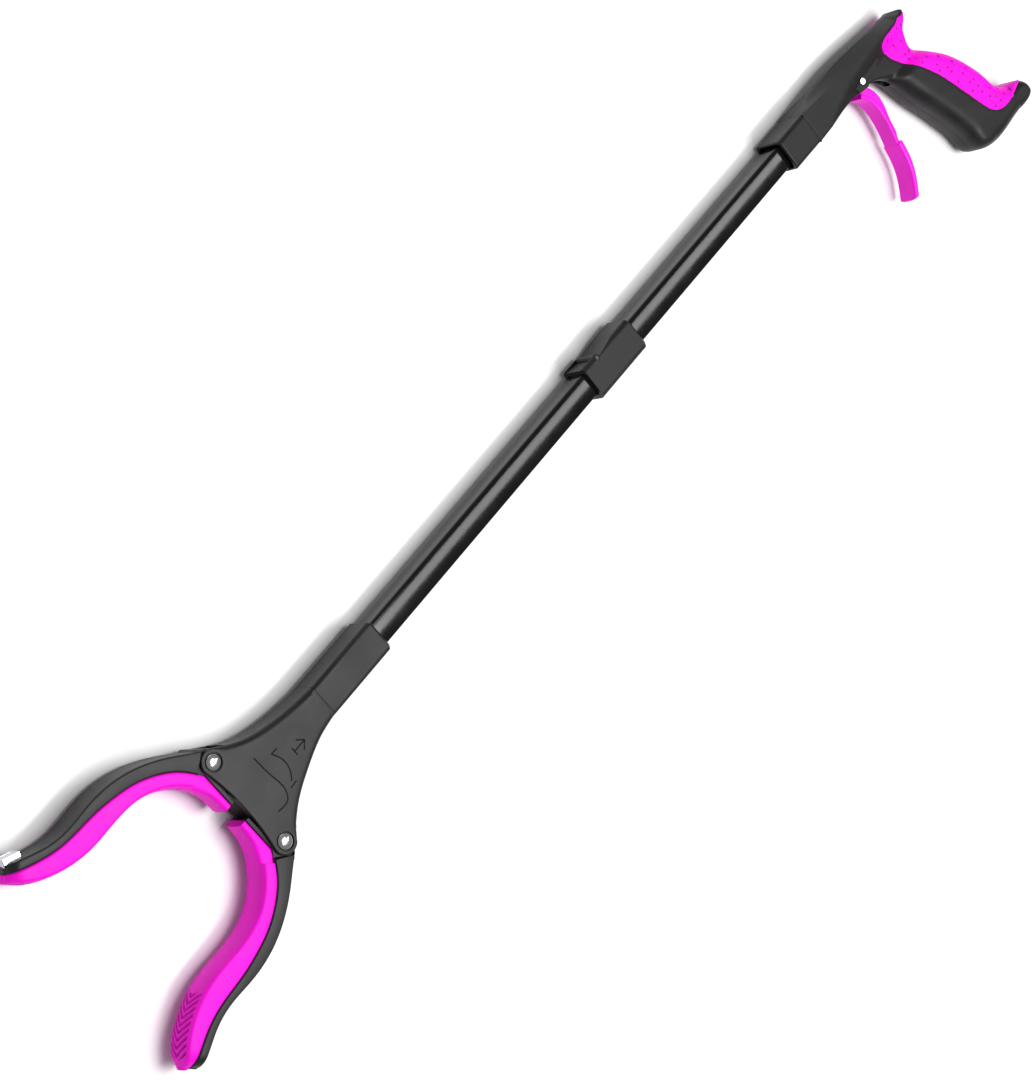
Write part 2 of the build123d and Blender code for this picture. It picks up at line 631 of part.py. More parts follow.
with BuildPart() as handle_body:
    add(handle_form.part)
    add(grip_overlay.part, mode=Mode.SUBTRACT)
    # room for the tube's end, the cord's post and the trigger's head
    with BuildSketch(level(0)):
        with BuildLine():
            Polyline(
                (X_SHELLS - 12.0, -7.5), (-556.0, -9.4), (-574.0, -10.1), (-604.0, -9.8), (-622.0, -6.0),
                (-622.0, 2.0), (-604.0, 8.4), (-556.0, 7.5), (X_SHELLS - 12.0, 7.5), close=True,
            )
        make_face()
        with Locations(*screws[:1]):
            Circle(BOSS_SCREW_R, mode=Mode.SUBTRACT)
    extrude(amount=CAVITY_HALF, both=True, mode=Mode.SUBTRACT)
    # hollow of the grip
    with BuildSketch(level(0)):
        with BuildLine():
            Spline((-618.0, 24.0), (-624.0, 44.0), (-631.0, 62.0), (-637.6, 80.0))
            Polyline((-637.6, 80.0), (-640.0, 92.0), (-658.0, 95.6), (-676.0, 94.0), (-668.0, 90.0))
            Spline((-668.0, 90.0), (-660.0, 72.0), (-653.0, 54.0), (-643.0, 38.0), (-632.0, 25.0))
            Line((-632.0, 25.0), (-618.0, 24.0))
        make_face()
        with Locations(*screws[1:]):
            Circle(BOSS_SCREW_R, mode=Mode.SUBTRACT)
    extrude(amount=CAVITY_HALF, both=True, mode=Mode.SUBTRACT)
    # slot in which the trigger's web swings
    with BuildSketch(level(0)):
        with Locations((X_TRIGGER, Y_TRIGGER)):
            Circle(SLOT_R)
        with Locations((X_TRIGGER, Y_TRIGGER - SLOT_R)):
            Rectangle(4 * SLOT_R, 2 * SLOT_R, mode=Mode.SUBTRACT)
        with Locations((X_TRIGGER + SLOT_R + 10, Y_TRIGGER)):
            Rectangle(2 * SLOT_R, 4 * SLOT_R, mode=Mode.SUBTRACT)
    extrude(amount=SLOT_HALF, both=True, mode=Mode.SUBTRACT)
    with BuildSketch(across(X_SHELLS - 12.0)):
        RectangleRounded(2 * TUBE_HALF, 2 * TUBE_HALF, TUBE_CORNER)
    extrude(amount=13.0, mode=Mode.SUBTRACT)
    with Locations(Location((X_TRIGGER, Y_TRIGGER, MID))):
        Cylinder(TRIGGER_PIN_R, 4 * GRIP_HALF, mode=Mode.SUBTRACT)
    with Locations(Location((post_x, post_y, MID))):
        Cylinder(POST_R, 2 * HOUSING_HALF - 4.0, mode=Mode.SUBTRACT)
    # screw holes, entered from the rear side
    with BuildSketch(level(-2 * GRIP_HALF)):
        with Locations(*screws):
            Circle(SCREW_R)
    extrude(amount=2 * GRIP_HALF + CAVITY_HALF - 1, mode=Mode.SUBTRACT)
    with BuildSketch(level(-2 * GRIP_HALF)):
        with Locations(*screws):
            Circle(SCREW_HEAD_R + 0.3)
    extrude(amount=2 * GRIP_HALF - HOUSING_HALF + 3.2, mode=Mode.SUBTRACT)

for name, keep in {"front": Keep.TOP, "rear": Keep.BOTTOM}.items():
    with BuildPart() as handle_shell:
        add(handle_body.part)
        split(bisect_by=level(0), keep=keep)
    save(handle_shell, "handle_shell_" + name)

SCREW_SEAT = 3.2 - HOUSING_HALF
with BuildPart() as handle_screws:
    with BuildSketch(level(SCREW_SEAT)):
        with Locations(*screws):
            Circle(SCREW_R)
    extrude(amount=CAVITY_HALF - 2 - SCREW_SEAT)
    with BuildSketch(level(SCREW_SEAT)):
        with Locations(*screws):
            Circle(SCREW_HEAD_R)
    extrude(amount=-2.0)
    with BuildSketch(level(SCREW_SEAT - 2.0)):
        with Locations(*screws):
            Rectangle(3.4, 0.7)
            Rectangle(0.7, 3.4)
    extrude(amount=1.2, mode=Mode.SUBTRACT)
save(handle_screws, "handle_screws")

with BuildPart() as handle_ferrule:
    with BuildSketch(across(X_SHELLS)):
        RectangleRounded(2 * FERRULE_HALF_Y, 2 * HOUSING_HALF, 2.6)
    extrude(amount=X_FERRULE - X_SHELLS)
    chamfer(handle_ferrule.faces().sort_by(Axis.X)[-1].edges(), length=0.6)
    with BuildSketch(across(X_SHELLS)):
        RectangleRounded(2 * TUBE_HALF, 2 * TUBE_HALF, TUBE_CORNER)
    extrude(amount=X_FERRULE - X_SHELLS, mode=Mode.SUBTRACT)
    with BuildSketch(across(X_FERRULE - 7.0)):
        RectangleRounded(2 * TUBE_HALF + 2.4, 2 * TUBE_HALF + 3.6, TUBE_CORNER + 0.8)
    extrude(amount=8.0, mode=Mode.SUBTRACT)
save(handle_ferrule, "handle_ferrule")

with BuildPart() as trigger_pin:
    with Locations(Location((X_TRIGGER, Y_TRIGGER, MID))):
        Cylinder(TRIGGER_PIN_R, 2 * HOUSING_HALF - 0.4)
save(trigger_pin, "trigger_pin")

with BuildPart() as cord_post:
    with Locations(Location((post_x, post_y, MID))):
        Cylinder(POST_R, 2 * HOUSING_HALF - 4.0)
save(cord_post, "cord_post")

with BuildPart() as cord_bight:
    with BuildLine(level(0)):
        RadiusArc((post_x, 0), (post_x, hook_y), -abs(hook_y) / 2)
    with BuildSketch(across(post_x)):
        Circle(CORD_R)
    sweep()
save(cord_bight, "cord_bight")

with BuildPart() as cord_return:
    with BuildSketch(across(post_x + 0.5, hook_y)):
        Circle(CORD_R)
    extrude(amount=hook_x - 3.2 - post_x - 0.5)
save(cord_return, "cord_return")

with BuildPart() as cord_crimp:
    with Locations(Location((hook_x, hook_y, MID))):
        Cylinder(1.4, 2 * WEB_HALF + 2.4)
save(cord_crimp, "cord_crimp")

# ---- trigger -------------------------------------------------------------------------------------
LEVER_HALF = 6.0
PAD_HALF = 7.5
LEVER_THICK = 3.2
PAD_THICK = 4.8
CHEEK_IN = 1.4
lever_front = [(-589.6, 19.0), (-590.6, 29.0), (-589.2, 41.0), (-586.4, 52.0)]
pad_front = [(-586.8, 50.5), (-584.8, 61.0), (-580.6, 71.5), (-572.6, 82.6)]
with BuildPart() as trigger:
    with BuildSketch(level(0)):
        with BuildLine():
            Polyline((hook_x - 2.0, hook_y), (hook_x + 2.4, hook_y), (-584.2, 4.0), (-586.6, 12.0), (-589.6, 19.0))
            Spline(*lever_front)
            Polyline(lever_front[-1], (-591.4, 50.0), (-595.8, 39.7), (-598.3, 31.0), (-598.6, 16.0),
                     (-593.6, 6.0), (hook_x - 2.0, hook_y))
        make_face()
        with Locations((X_TRIGGER, Y_TRIGGER)):
            Circle(4.8)
        with Locations((hook_x, hook_y)):
            Circle(2.6)
    extrude(amount=WEB_HALF, both=True)
    with BuildSketch(level(0)):
        with BuildLine():
            front = Spline(*lever_front)
            rear = Spline(*[(x - LEVER_THICK, y) for x, y in lever_front])
            Line(front @ 0, rear @ 0)
            Line(front @ 1, rear @ 1)
        make_face()
    extrude(amount=LEVER_HALF, both=True)
    with BuildSketch(level(0)):
        with BuildLine():
            front = Spline(*pad_front)
            rear = Spline(*[(x - PAD_THICK, y + PAD_THICK * k / 4) for k, (x, y) in enumerate(pad_front)])
            Line(front @ 0, rear @ 0)
            Line(front @ 1, rear @ 1)
        make_face()
    extrude(amount=PAD_HALF, both=True)
    # the cord passes between the two cheeks of the arm that pulls it
    with BuildSketch(level(0)):
        with Locations((X_TRIGGER, Y_TRIGGER)):
            Circle(16.0)
            Circle(3.4, mode=Mode.SUBTRACT)
        with Locations((X_TRIGGER, Y_TRIGGER + 15.0)):
            Rectangle(40.0, 32.0, mode=Mode.SUBTRACT)
    extrude(amount=CHEEK_IN, both=True, mode=Mode.SUBTRACT)
    with Locations(Location((X_TRIGGER, Y_TRIGGER, MID))):
        Cylinder(TRIGGER_PIN_R + FIT, 4 * WEB_HALF, mode=Mode.SUBTRACT)
    with Locations(Location((hook_x, hook_y, MID))):
        Cylinder(1.4, 4 * WEB_HALF, mode=Mode.SUBTRACT)
save(trigger, "trigger")
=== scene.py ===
# %% [markdown]
# # Folding reacher grabber
# A long square tube carries a pistol grip at one end and a swivelling yoke with two curved jaws at the other.
# Shapes are worked out in millimetres and scaled once.

# %% load the frame
import json
import math

import bmesh
import bpy
import numpy as np
from mathutils import Matrix, Vector
from mathutils.geometry import delaunay_2d_cdt


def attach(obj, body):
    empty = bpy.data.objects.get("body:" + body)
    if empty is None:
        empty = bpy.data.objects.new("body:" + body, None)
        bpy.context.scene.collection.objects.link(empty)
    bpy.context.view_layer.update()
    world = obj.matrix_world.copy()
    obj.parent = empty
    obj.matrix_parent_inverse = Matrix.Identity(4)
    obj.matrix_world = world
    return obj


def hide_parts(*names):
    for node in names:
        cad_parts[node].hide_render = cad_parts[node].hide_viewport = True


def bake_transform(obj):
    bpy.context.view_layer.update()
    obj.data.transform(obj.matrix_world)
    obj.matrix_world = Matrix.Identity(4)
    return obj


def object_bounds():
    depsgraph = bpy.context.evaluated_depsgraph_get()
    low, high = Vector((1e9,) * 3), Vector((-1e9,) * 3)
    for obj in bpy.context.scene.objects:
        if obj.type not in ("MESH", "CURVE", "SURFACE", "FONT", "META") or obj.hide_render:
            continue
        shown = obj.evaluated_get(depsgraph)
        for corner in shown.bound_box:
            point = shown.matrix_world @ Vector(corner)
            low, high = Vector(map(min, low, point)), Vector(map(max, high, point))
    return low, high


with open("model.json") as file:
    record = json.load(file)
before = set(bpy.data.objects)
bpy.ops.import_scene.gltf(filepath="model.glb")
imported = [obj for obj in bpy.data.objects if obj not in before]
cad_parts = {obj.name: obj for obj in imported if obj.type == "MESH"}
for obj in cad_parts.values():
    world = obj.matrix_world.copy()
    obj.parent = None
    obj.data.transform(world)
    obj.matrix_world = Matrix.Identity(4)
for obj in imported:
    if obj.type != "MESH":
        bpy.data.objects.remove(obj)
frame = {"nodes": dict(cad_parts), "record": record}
cad_low, cad_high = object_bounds()
MM = 0.001
MID = 10.5                   # height of the tool's mid-plane above the yoke's underside
print("frame loaded:", len(frame["nodes"]), "nodes")

# %% [markdown]
# ## Camera first
# The tool is seen from above its side, a little from behind the jaws. A long lens keeps the shaft straight and
# its far end only slightly smaller. The camera is placed by its position, the way it looks and its up direction.

# %% camera
CAMERA_AT = Vector((0.5070, -0.5436, 1.3759))
CAMERA_LOOK = Vector((-0.440, 0.348, -0.828)).normalized()
CAMERA_UP = Vector((-0.689, -0.722, 0.062))


def aim(at, look, up):
    """Matrix whose -Z is look and whose Y is up made square to it."""
    back = -look.normalized()
    right = up.cross(back).normalized()
    turn = Matrix((right, back.cross(right), back)).transposed().to_4x4()
    return Matrix.Translation(at) @ turn


camera = bpy.data.objects.new("studio_camera", bpy.data.cameras.new("studio_camera"))
bpy.context.scene.collection.objects.link(camera)
camera.data.lens = 100.9
camera.data.shift_x, camera.data.shift_y = -0.001, 0.003
camera.data.sensor_width = 36.0
camera.data.clip_start, camera.data.clip_end = 0.05, 50.0
camera.matrix_world = aim(CAMERA_AT, CAMERA_LOOK, CAMERA_UP)
bpy.context.scene.camera = camera
bpy.context.scene.view_settings.view_transform = "Standard"
print("camera at", [round(v, 3) for v in CAMERA_AT])

# %% [markdown]
# ## Floor and light
# The light is a dim, even surround and three soft panels. The panels are what the glossy tube reflects: the
# long, narrow one gives the pale band that runs down its upper face.

# %% floor, world and lights
def panel(name, at, target, size, watts):
    """A square-cornered soft panel at a point, facing the target."""
    light = bpy.data.lights.new(name, "AREA")
    light.shape = "RECTANGLE"
    light.size, light.size_y = size
    light.energy = watts
    lamp = bpy.data.objects.new(name, light)
    bpy.context.scene.collection.objects.link(lamp)
    lamp.matrix_world = aim(Vector(at), Vector(target) - Vector(at), Vector((1, 0, 0.01)))
    return lamp


panel("band_panel", (-1.0, 0.85, 2.5), (-1.0, 0.85, 0.0), (0.26, 3.4), 34)
panel("key_panel", (-0.45, 0.30, 2.2), (-0.3, 0.0, 0.0), (1.2, 1.2), 42)
panel("side_panel", (-0.9, -1.6, 0.5), (-0.4, 0.0, 0.0), (0.5, 1.4), 1.5)

world = bpy.data.worlds.new("studio_world")
bpy.context.scene.world = world
world.use_nodes = True
world.node_tree.nodes["Background"].inputs["Color"].default_value = (1, 1, 1, 1)
world.node_tree.nodes["Background"].inputs["Strength"].default_value = 0.24

floor_mesh = bpy.data.meshes.new("studio_floor")
reach, low = 6.0, cad_low.z - 0.0005
floor_mesh.from_pydata([(-reach, -reach, low), (reach, -reach, low), (reach, reach, low), (-reach, reach, low)],
                       [], [(0, 1, 2, 3)])
studio_floor = bpy.data.objects.new("studio_floor", floor_mesh)
bpy.context.scene.collection.objects.link(studio_floor)
print("floor at z =", round(low, 4))

# %% [markdown]
# ## Materials
# Moulded plastic is never one flat colour: it has a fine spark-eroded grain, a little cloudiness and slightly
# uneven gloss. Each finish is one Principled shader with noise on Object coordinates for grain and gloss.

# %% material helpers
def node_of(tree, kind, **values):
    """Add a shader node and set its sockets and settings by name."""
    made = tree.nodes.new(kind)
    for key, value in values.items():
        if key in made.inputs:
            made.inputs[key].default_value = value
        else:
            setattr(made, key, value)
    return made


def finish_of(name, dark, light, rough, grain, grain_mm, metallic=0.0, extra=None, cloud_mm=18.0):
    """Principled finish: colour drifts dark..light in soft clouds, gloss drifts over rough, grain is a bump."""
    made = bpy.data.materials.new(name)
    made.use_nodes = True
    tree = made.node_tree
    shader = tree.nodes["Principled BSDF"]
    shader.inputs["Metallic"].default_value = metallic
    for key, value in (extra or {}).items():
        shader.inputs[key].default_value = value
    place = node_of(tree, "ShaderNodeTexCoord")
    cloud = node_of(tree, "ShaderNodeTexNoise", Scale=1000.0 / cloud_mm, Detail=4.0, Roughness=0.55)
    tree.links.new(place.outputs["Object"], cloud.inputs["Vector"])
    colour = node_of(tree, "ShaderNodeValToRGB")
    colour.color_ramp.elements[0].position, colour.color_ramp.elements[1].position = 0.3, 0.7
    colour.color_ramp.elements[0].color = (*dark, 1)
    colour.color_ramp.elements[1].color = (*light, 1)
    tree.links.new(cloud.outputs["Fac"], colour.inputs["Fac"])
    tree.links.new(colour.outputs["Color"], shader.inputs["Base Color"])
    gloss = node_of(tree, "ShaderNodeMapRange")
    gloss.inputs["From Min"].default_value, gloss.inputs["From Max"].default_value = 0.25, 0.75
    gloss.inputs["To Min"].default_value, gloss.inputs["To Max"].default_value = rough
    tree.links.new(cloud.outputs["Fac"], gloss.inputs["Value"])
    tree.links.new(gloss.outputs["Result"], shader.inputs["Roughness"])
    speck = node_of(tree, "ShaderNodeTexNoise", Scale=1000.0 / grain_mm, Detail=2.0, Roughness=0.5)
    tree.links.new(place.outputs["Object"], speck.inputs["Vector"])
    bump = node_of(tree, "ShaderNodeBump", Strength=grain, Distance=0.0002)
    tree.links.new(speck.outputs["Fac"], bump.inputs["Height"])
    tree.links.new(bump.outputs["Normal"], shader.inputs["Normal"])
    return made


# %% the finishes
black_plastic = finish_of("satin_black_plastic", (0.009, 0.009, 0.0095), (0.015, 0.015, 0.0155), (0.38, 0.50),
                          0.3, 0.45, extra={"Specular IOR Level": 0.24})
tube_black = finish_of("gloss_black_coating", (0.004, 0.004, 0.0045), (0.006, 0.006, 0.007), (0.07, 0.12), 0.03, 1.2,
                       extra={"Specular IOR Level": 0.22})
magenta_rubber = finish_of("soft_magenta_rubber", (0.86, 0.002, 0.60), (0.95, 0.003, 0.70), (0.46, 0.58), 0.25, 0.4,
                           extra={"Specular IOR Level": 0.16})
magenta_plastic = finish_of("smooth_magenta_plastic", (0.86, 0.002, 0.60), (0.95, 0.003, 0.70), (0.30, 0.40),
                            0.1, 0.5, extra={"Specular IOR Level": 0.22})
polished_steel = finish_of("polished_steel", (0.62, 0.62, 0.64), (0.74, 0.74, 0.76), (0.12, 0.20), 0.04, 0.8,
                           metallic=1.0)
brushed_steel = finish_of("plated_steel", (0.55, 0.55, 0.57), (0.72, 0.72, 0.74), (0.25, 0.38), 0.15, 0.5,
                          metallic=1.0)
inner_plastic = finish_of("plain_inner_plastic", (0.05, 0.05, 0.052), (0.075, 0.075, 0.08), (0.5, 0.6), 0.2, 0.6)
floor_paint = finish_of("pale_floor", (0.93, 0.93, 0.93), (0.95, 0.95, 0.95), (0.8, 0.9), 0.02, 3.0, cloud_mm=400.0)
floor_mesh.materials.append(floor_paint)


def braid():
    """Braided cord: one slightly distorted diagonal wave, used as a bump, stands for the raised strands."""
    made = finish_of("braided_cord", (0.55, 0.54, 0.50), (0.78, 0.77, 0.72), (0.7, 0.85), 0.3, 0.5, cloud_mm=3.0)
    tree = made.node_tree
    place = tree.nodes["Texture Coordinate"]
    wave = node_of(tree, "ShaderNodeTexWave", Scale=900.0, Distortion=1.5, bands_direction="DIAGONAL")
    tree.links.new(place.outputs["Object"], wave.inputs["Vector"])
    bump = node_of(tree, "ShaderNodeBump", Strength=0.8, Distance=0.0003)
    tree.links.new(wave.outputs["Fac"], bump.inputs["Height"])
    tree.links.new(bump.outputs["Normal"], tree.nodes["Principled BSDF"].inputs["Normal"])
    return made


cord_braid = braid()
slot_finish = {"black_plastic": black_plastic, "magenta_soft": magenta_rubber, "magenta_plastic": magenta_plastic,
               "tube_black": tube_black, "steel": polished_steel, "magnet": brushed_steel,
               "inner_plastic": inner_plastic, "cord": cord_braid, "spring_steel": brushed_steel}
for part in frame["record"]["subparts"]:
    carried = frame["nodes"][part["node"]]
    carried.data.materials.clear()
    carried.data.materials.append(slot_finish[part["material_slot"]])
# the fold's pin and the cord's post show no bright metal, so their steel is blackened
blackened_steel = finish_of("blackened_steel", (0.012, 0.012, 0.013), (0.02, 0.02, 0.021), (0.35, 0.45), 0.1, 0.6)
for node in ("fold_pin", "cord_post"):
    frame["nodes"][node].data.materials.clear()
    frame["nodes"][node].data.materials.append(blackened_steel)
print("finishes:", sorted(m.name for m in slot_finish.values()))

# %% [markdown]
# ## Mesh tools
# Two kinds of surface make most of the new pieces. A *strip* is a cross-section carried along two edge curves.
# A *plate* is an outline with a height worked out at every point, and a rounded rim.

# %% curves
def smooth_through(points, count):
    """Natural cubic curve through the points: second derivatives solve one tridiagonal system over chord length."""
    p = np.asarray(points, float)
    t = np.concatenate([[0.0], np.cumsum(np.linalg.norm(np.diff(p, axis=0), axis=1))])
    h = np.diff(t)
    n = len(p)
    a, b = np.eye(n), np.zeros_like(p)
    k = np.arange(1, n - 1)
    a[k, k - 1], a[k, k], a[k, k + 1] = h[:-1], 2 * (h[:-1] + h[1:]), h[1:]
    b[1:-1] = 6 * (np.diff(p, axis=0)[1:] / h[1:, None] - np.diff(p, axis=0)[:-1] / h[:-1, None])
    m = np.linalg.solve(a, b)
    s = np.linspace(0, t[-1], count)
    i = np.clip(np.searchsorted(t, s, side="right") - 1, 0, n - 2)
    u, v, w = (t[i + 1] - s)[:, None], (s - t[i])[:, None], h[i][:, None]
    cubic = (m[i] * u**3 + m[i + 1] * v**3) / (6 * w)
    return cubic + (p[i] / w - m[i] * w / 6) * u + (p[i + 1] / w - m[i + 1] * w / 6) * v


def arc_points(centre, radius, start, end, count):
    """Points of a circle arc from start to end, in degrees."""
    t = np.radians(np.linspace(start, end, count))
    return np.stack([centre[0] + radius * np.cos(t), centre[1] + radius * np.sin(t)], 1)


def outward(loop):
    """Unit normals of a closed counter-clockwise loop: each tangent turned a quarter turn clockwise."""
    along = np.roll(loop, -1, 0) - np.roll(loop, 1, 0)
    along /= np.linalg.norm(along, axis=1)[:, None] + 1e-12
    return np.stack([along[:, 1], -along[:, 0]], 1)


def counter_clockwise(loop):
    """The loop in the order in which its enclosed area is positive."""
    x, y = loop[:, 0], loop[:, 1]
    area = np.sum(x * np.roll(y, -1) - y * np.roll(x, -1))
    return loop if area > 0 else loop[::-1].copy()


def inside(points, loop):
    """True where a point lies inside the loop: a ray towards +X crosses its edges an odd number of times."""
    p, q = loop[None], np.roll(loop, -1, 0)[None]
    x, y = points[:, None, 0], points[:, None, 1]
    rise = q[..., 1] - p[..., 1]
    met = p[..., 0] + (y - p[..., 1]) * (q[..., 0] - p[..., 0]) / np.where(rise == 0, 1e-9, rise)
    cross = ((p[..., 1] > y) != (q[..., 1] > y)) & (x < met)
    return cross.sum(1) % 2 == 1


def gap_to(points, loop, closed=True):
    """Distance from each point to the nearest point of the loop's straight edges."""
    p, q = (loop, np.roll(loop, -1, 0)) if closed else (loop[:-1], loop[1:])
    e = q - p
    t = np.clip(np.sum((points[:, None] - p[None]) * e[None], 2) / (np.sum(e * e, 1)[None] + 1e-12), 0, 1)
    return np.sqrt(np.min(np.sum((points[:, None] - p[None] - t[..., None] * e[None]) ** 2, 2), 1))


def ease(x, start, end):
    """Smooth step from 0 at start to 1 at end."""
    t = np.clip((x - start) / (end - start), 0, 1)
    return t * t * (3 - 2 * t)


# %% mesh makers
def build_mesh(name, points, faces, finishes, smooth_deg=35.0):
    """Mesh from an array of points in millimetres; a closed shape whose volume is negative is turned out."""
    co = np.asarray(points, float)
    tri = np.array([(f[0], f[k], f[k + 1]) for f in faces for k in range(1, len(f) - 1)])
    volume = np.einsum("ij,ij->i", co[tri[:, 0]], np.cross(co[tri[:, 1]], co[tri[:, 2]])).sum()
    if volume < 0:
        faces = [tuple(reversed(f)) for f in faces]
    mesh = bpy.data.meshes.new(name)
    mesh.from_pydata((co * MM).tolist(), [], faces)
    for made in finishes:
        mesh.materials.append(made)
    mesh.update()
    mesh.shade_smooth()
    mesh.set_sharp_from_angle(angle=math.radians(smooth_deg))
    piece = bpy.data.objects.new(name, mesh)
    bpy.context.scene.collection.objects.link(piece)
    return piece


def grid_faces(rows, cols, start=0, wrap=True):
    """Quads between neighbouring rows of a rows x cols grid, each row closed on itself when wrap is true."""
    r, c = np.meshgrid(np.arange(rows - 1), np.arange(cols if wrap else cols - 1), indexing="ij")
    d = (c + 1) % cols
    quads = np.stack([r * cols + c, r * cols + d, (r + 1) * cols + d, (r + 1) * cols + c], -1) + start
    return [tuple(q) for q in quads.reshape(-1, 4).tolist()]


def capped_grid(rows, cols):
    """Faces of a closed tube of rows rings with cols points each, and one face over each end."""
    return grid_faces(rows, cols) + [tuple(range(cols)), tuple(reversed(range((rows - 1) * cols, rows * cols)))]


def level(height):
    """A flat height: the same value at every point."""
    return lambda p: np.full(len(p), height)


def place(piece, body, slot, *nodes):
    """Hang a piece on its body and hide the nodes that it stands for; the slot argument is not used."""
    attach(piece, body)
    if nodes:
        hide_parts(*nodes)
    print(piece.name, len(piece.data.polygons), "faces")
    return piece


# %% plate maker
def plate(loop, top, bottom, rim_round, spacing, extra=None, rim_steps=6, drop=None, facet=0.0):
    """Solid over an outline: height top(xy) above, bottom(xy) below, the upper rim rounded off.

    Ring k of the rim lies w * (1 - cos a) inside the outline and v * (1 - sin a) below the top, with a from 0
    to 90 degrees; w is rim_round and v is drop. Where facet is 1 the ring runs straight instead, as a / 90 of
    each. Inside the last ring a triangulated field of points carries the height.
    """
    loop = counter_clockwise(np.asarray(loop, float))
    n = len(loop)
    normal = outward(loop)

    def at_rim(value):
        return np.broadcast_to(np.asarray(value(loop) if callable(value) else value, float), (n,))

    wide = at_rim(rim_round)
    tall = wide if drop is None else at_rim(drop)
    flat_share = at_rim(facet)
    a = np.linspace(0, 90, rim_steps)
    insets = [wide * ((1 - flat_share) * (1 - math.cos(math.radians(t))) + flat_share * t / 90) for t in a]
    rings = [loop - normal * inset[:, None] for inset in insets]
    drops = [tall * ((1 - flat_share) * (1 - math.sin(math.radians(t))) + flat_share * (1 - t / 90)) for t in a]
    low_z = bottom(loop)
    rows = [np.column_stack([loop, low_z])]
    rows += [np.column_stack([r, np.maximum(top(r) - d, low_z + 0.05)]) for r, d in zip(rings, drops)]
    low, high = loop.min(0), loop.max(0)
    xs, ys = np.arange(low[0], high[0], spacing), np.arange(low[1], high[1], spacing)
    field = np.stack(np.meshgrid(xs, ys, indexing="ij"), -1).reshape(-1, 2)
    if extra is not None:
        near = gap_to(field, extra, closed=False) > 0.6 * spacing if len(extra) > 1 else np.ones(len(field), bool)
        field = np.vstack([field[near], extra])
    last = rings[-1]
    field = field[inside(field, last)]
    field = field[gap_to(field, last) > 0.45 * spacing]
    flat = np.vstack([last, field])
    ring_edges = [(i, (i + 1) % n) for i in range(n)]
    verts, _, tris, origin, _, _ = delaunay_2d_cdt([Vector(p) for p in flat], ring_edges, [], 1, 1e-6)
    flat = np.array([tuple(v) for v in verts])
    index = {o: i for i, found in enumerate(origin) for o in found}
    ring_at = [index[i] for i in range(n)]
    upper = np.column_stack([flat, top(flat)])
    lower_xy = flat.copy()
    lower_xy[ring_at] = loop
    lower = np.column_stack([lower_xy, bottom(lower_xy)])
    base = np.vstack(rows[1:-1]) if len(rows) > 2 else np.zeros((0, 3))
    points = np.vstack([upper, lower, base])
    u0, l0, b0 = 0, len(upper), len(upper) + len(lower)
    faces = [tuple(t) for t in tris] + [tuple(l0 + i for i in reversed(t)) for t in tris]
    chains = [[l0 + ring_at[i] for i in range(n)]]
    chains += [[b0 + k * n + i for i in range(n)] for k in range(len(rows) - 2)]
    chains += [[u0 + ring_at[i] for i in range(n)]]
    for lower_row, upper_row in zip(chains, chains[1:]):
        faces += [(lower_row[i], lower_row[(i + 1) % n], upper_row[(i + 1) % n], upper_row[i]) for i in range(n)]
    return points, faces


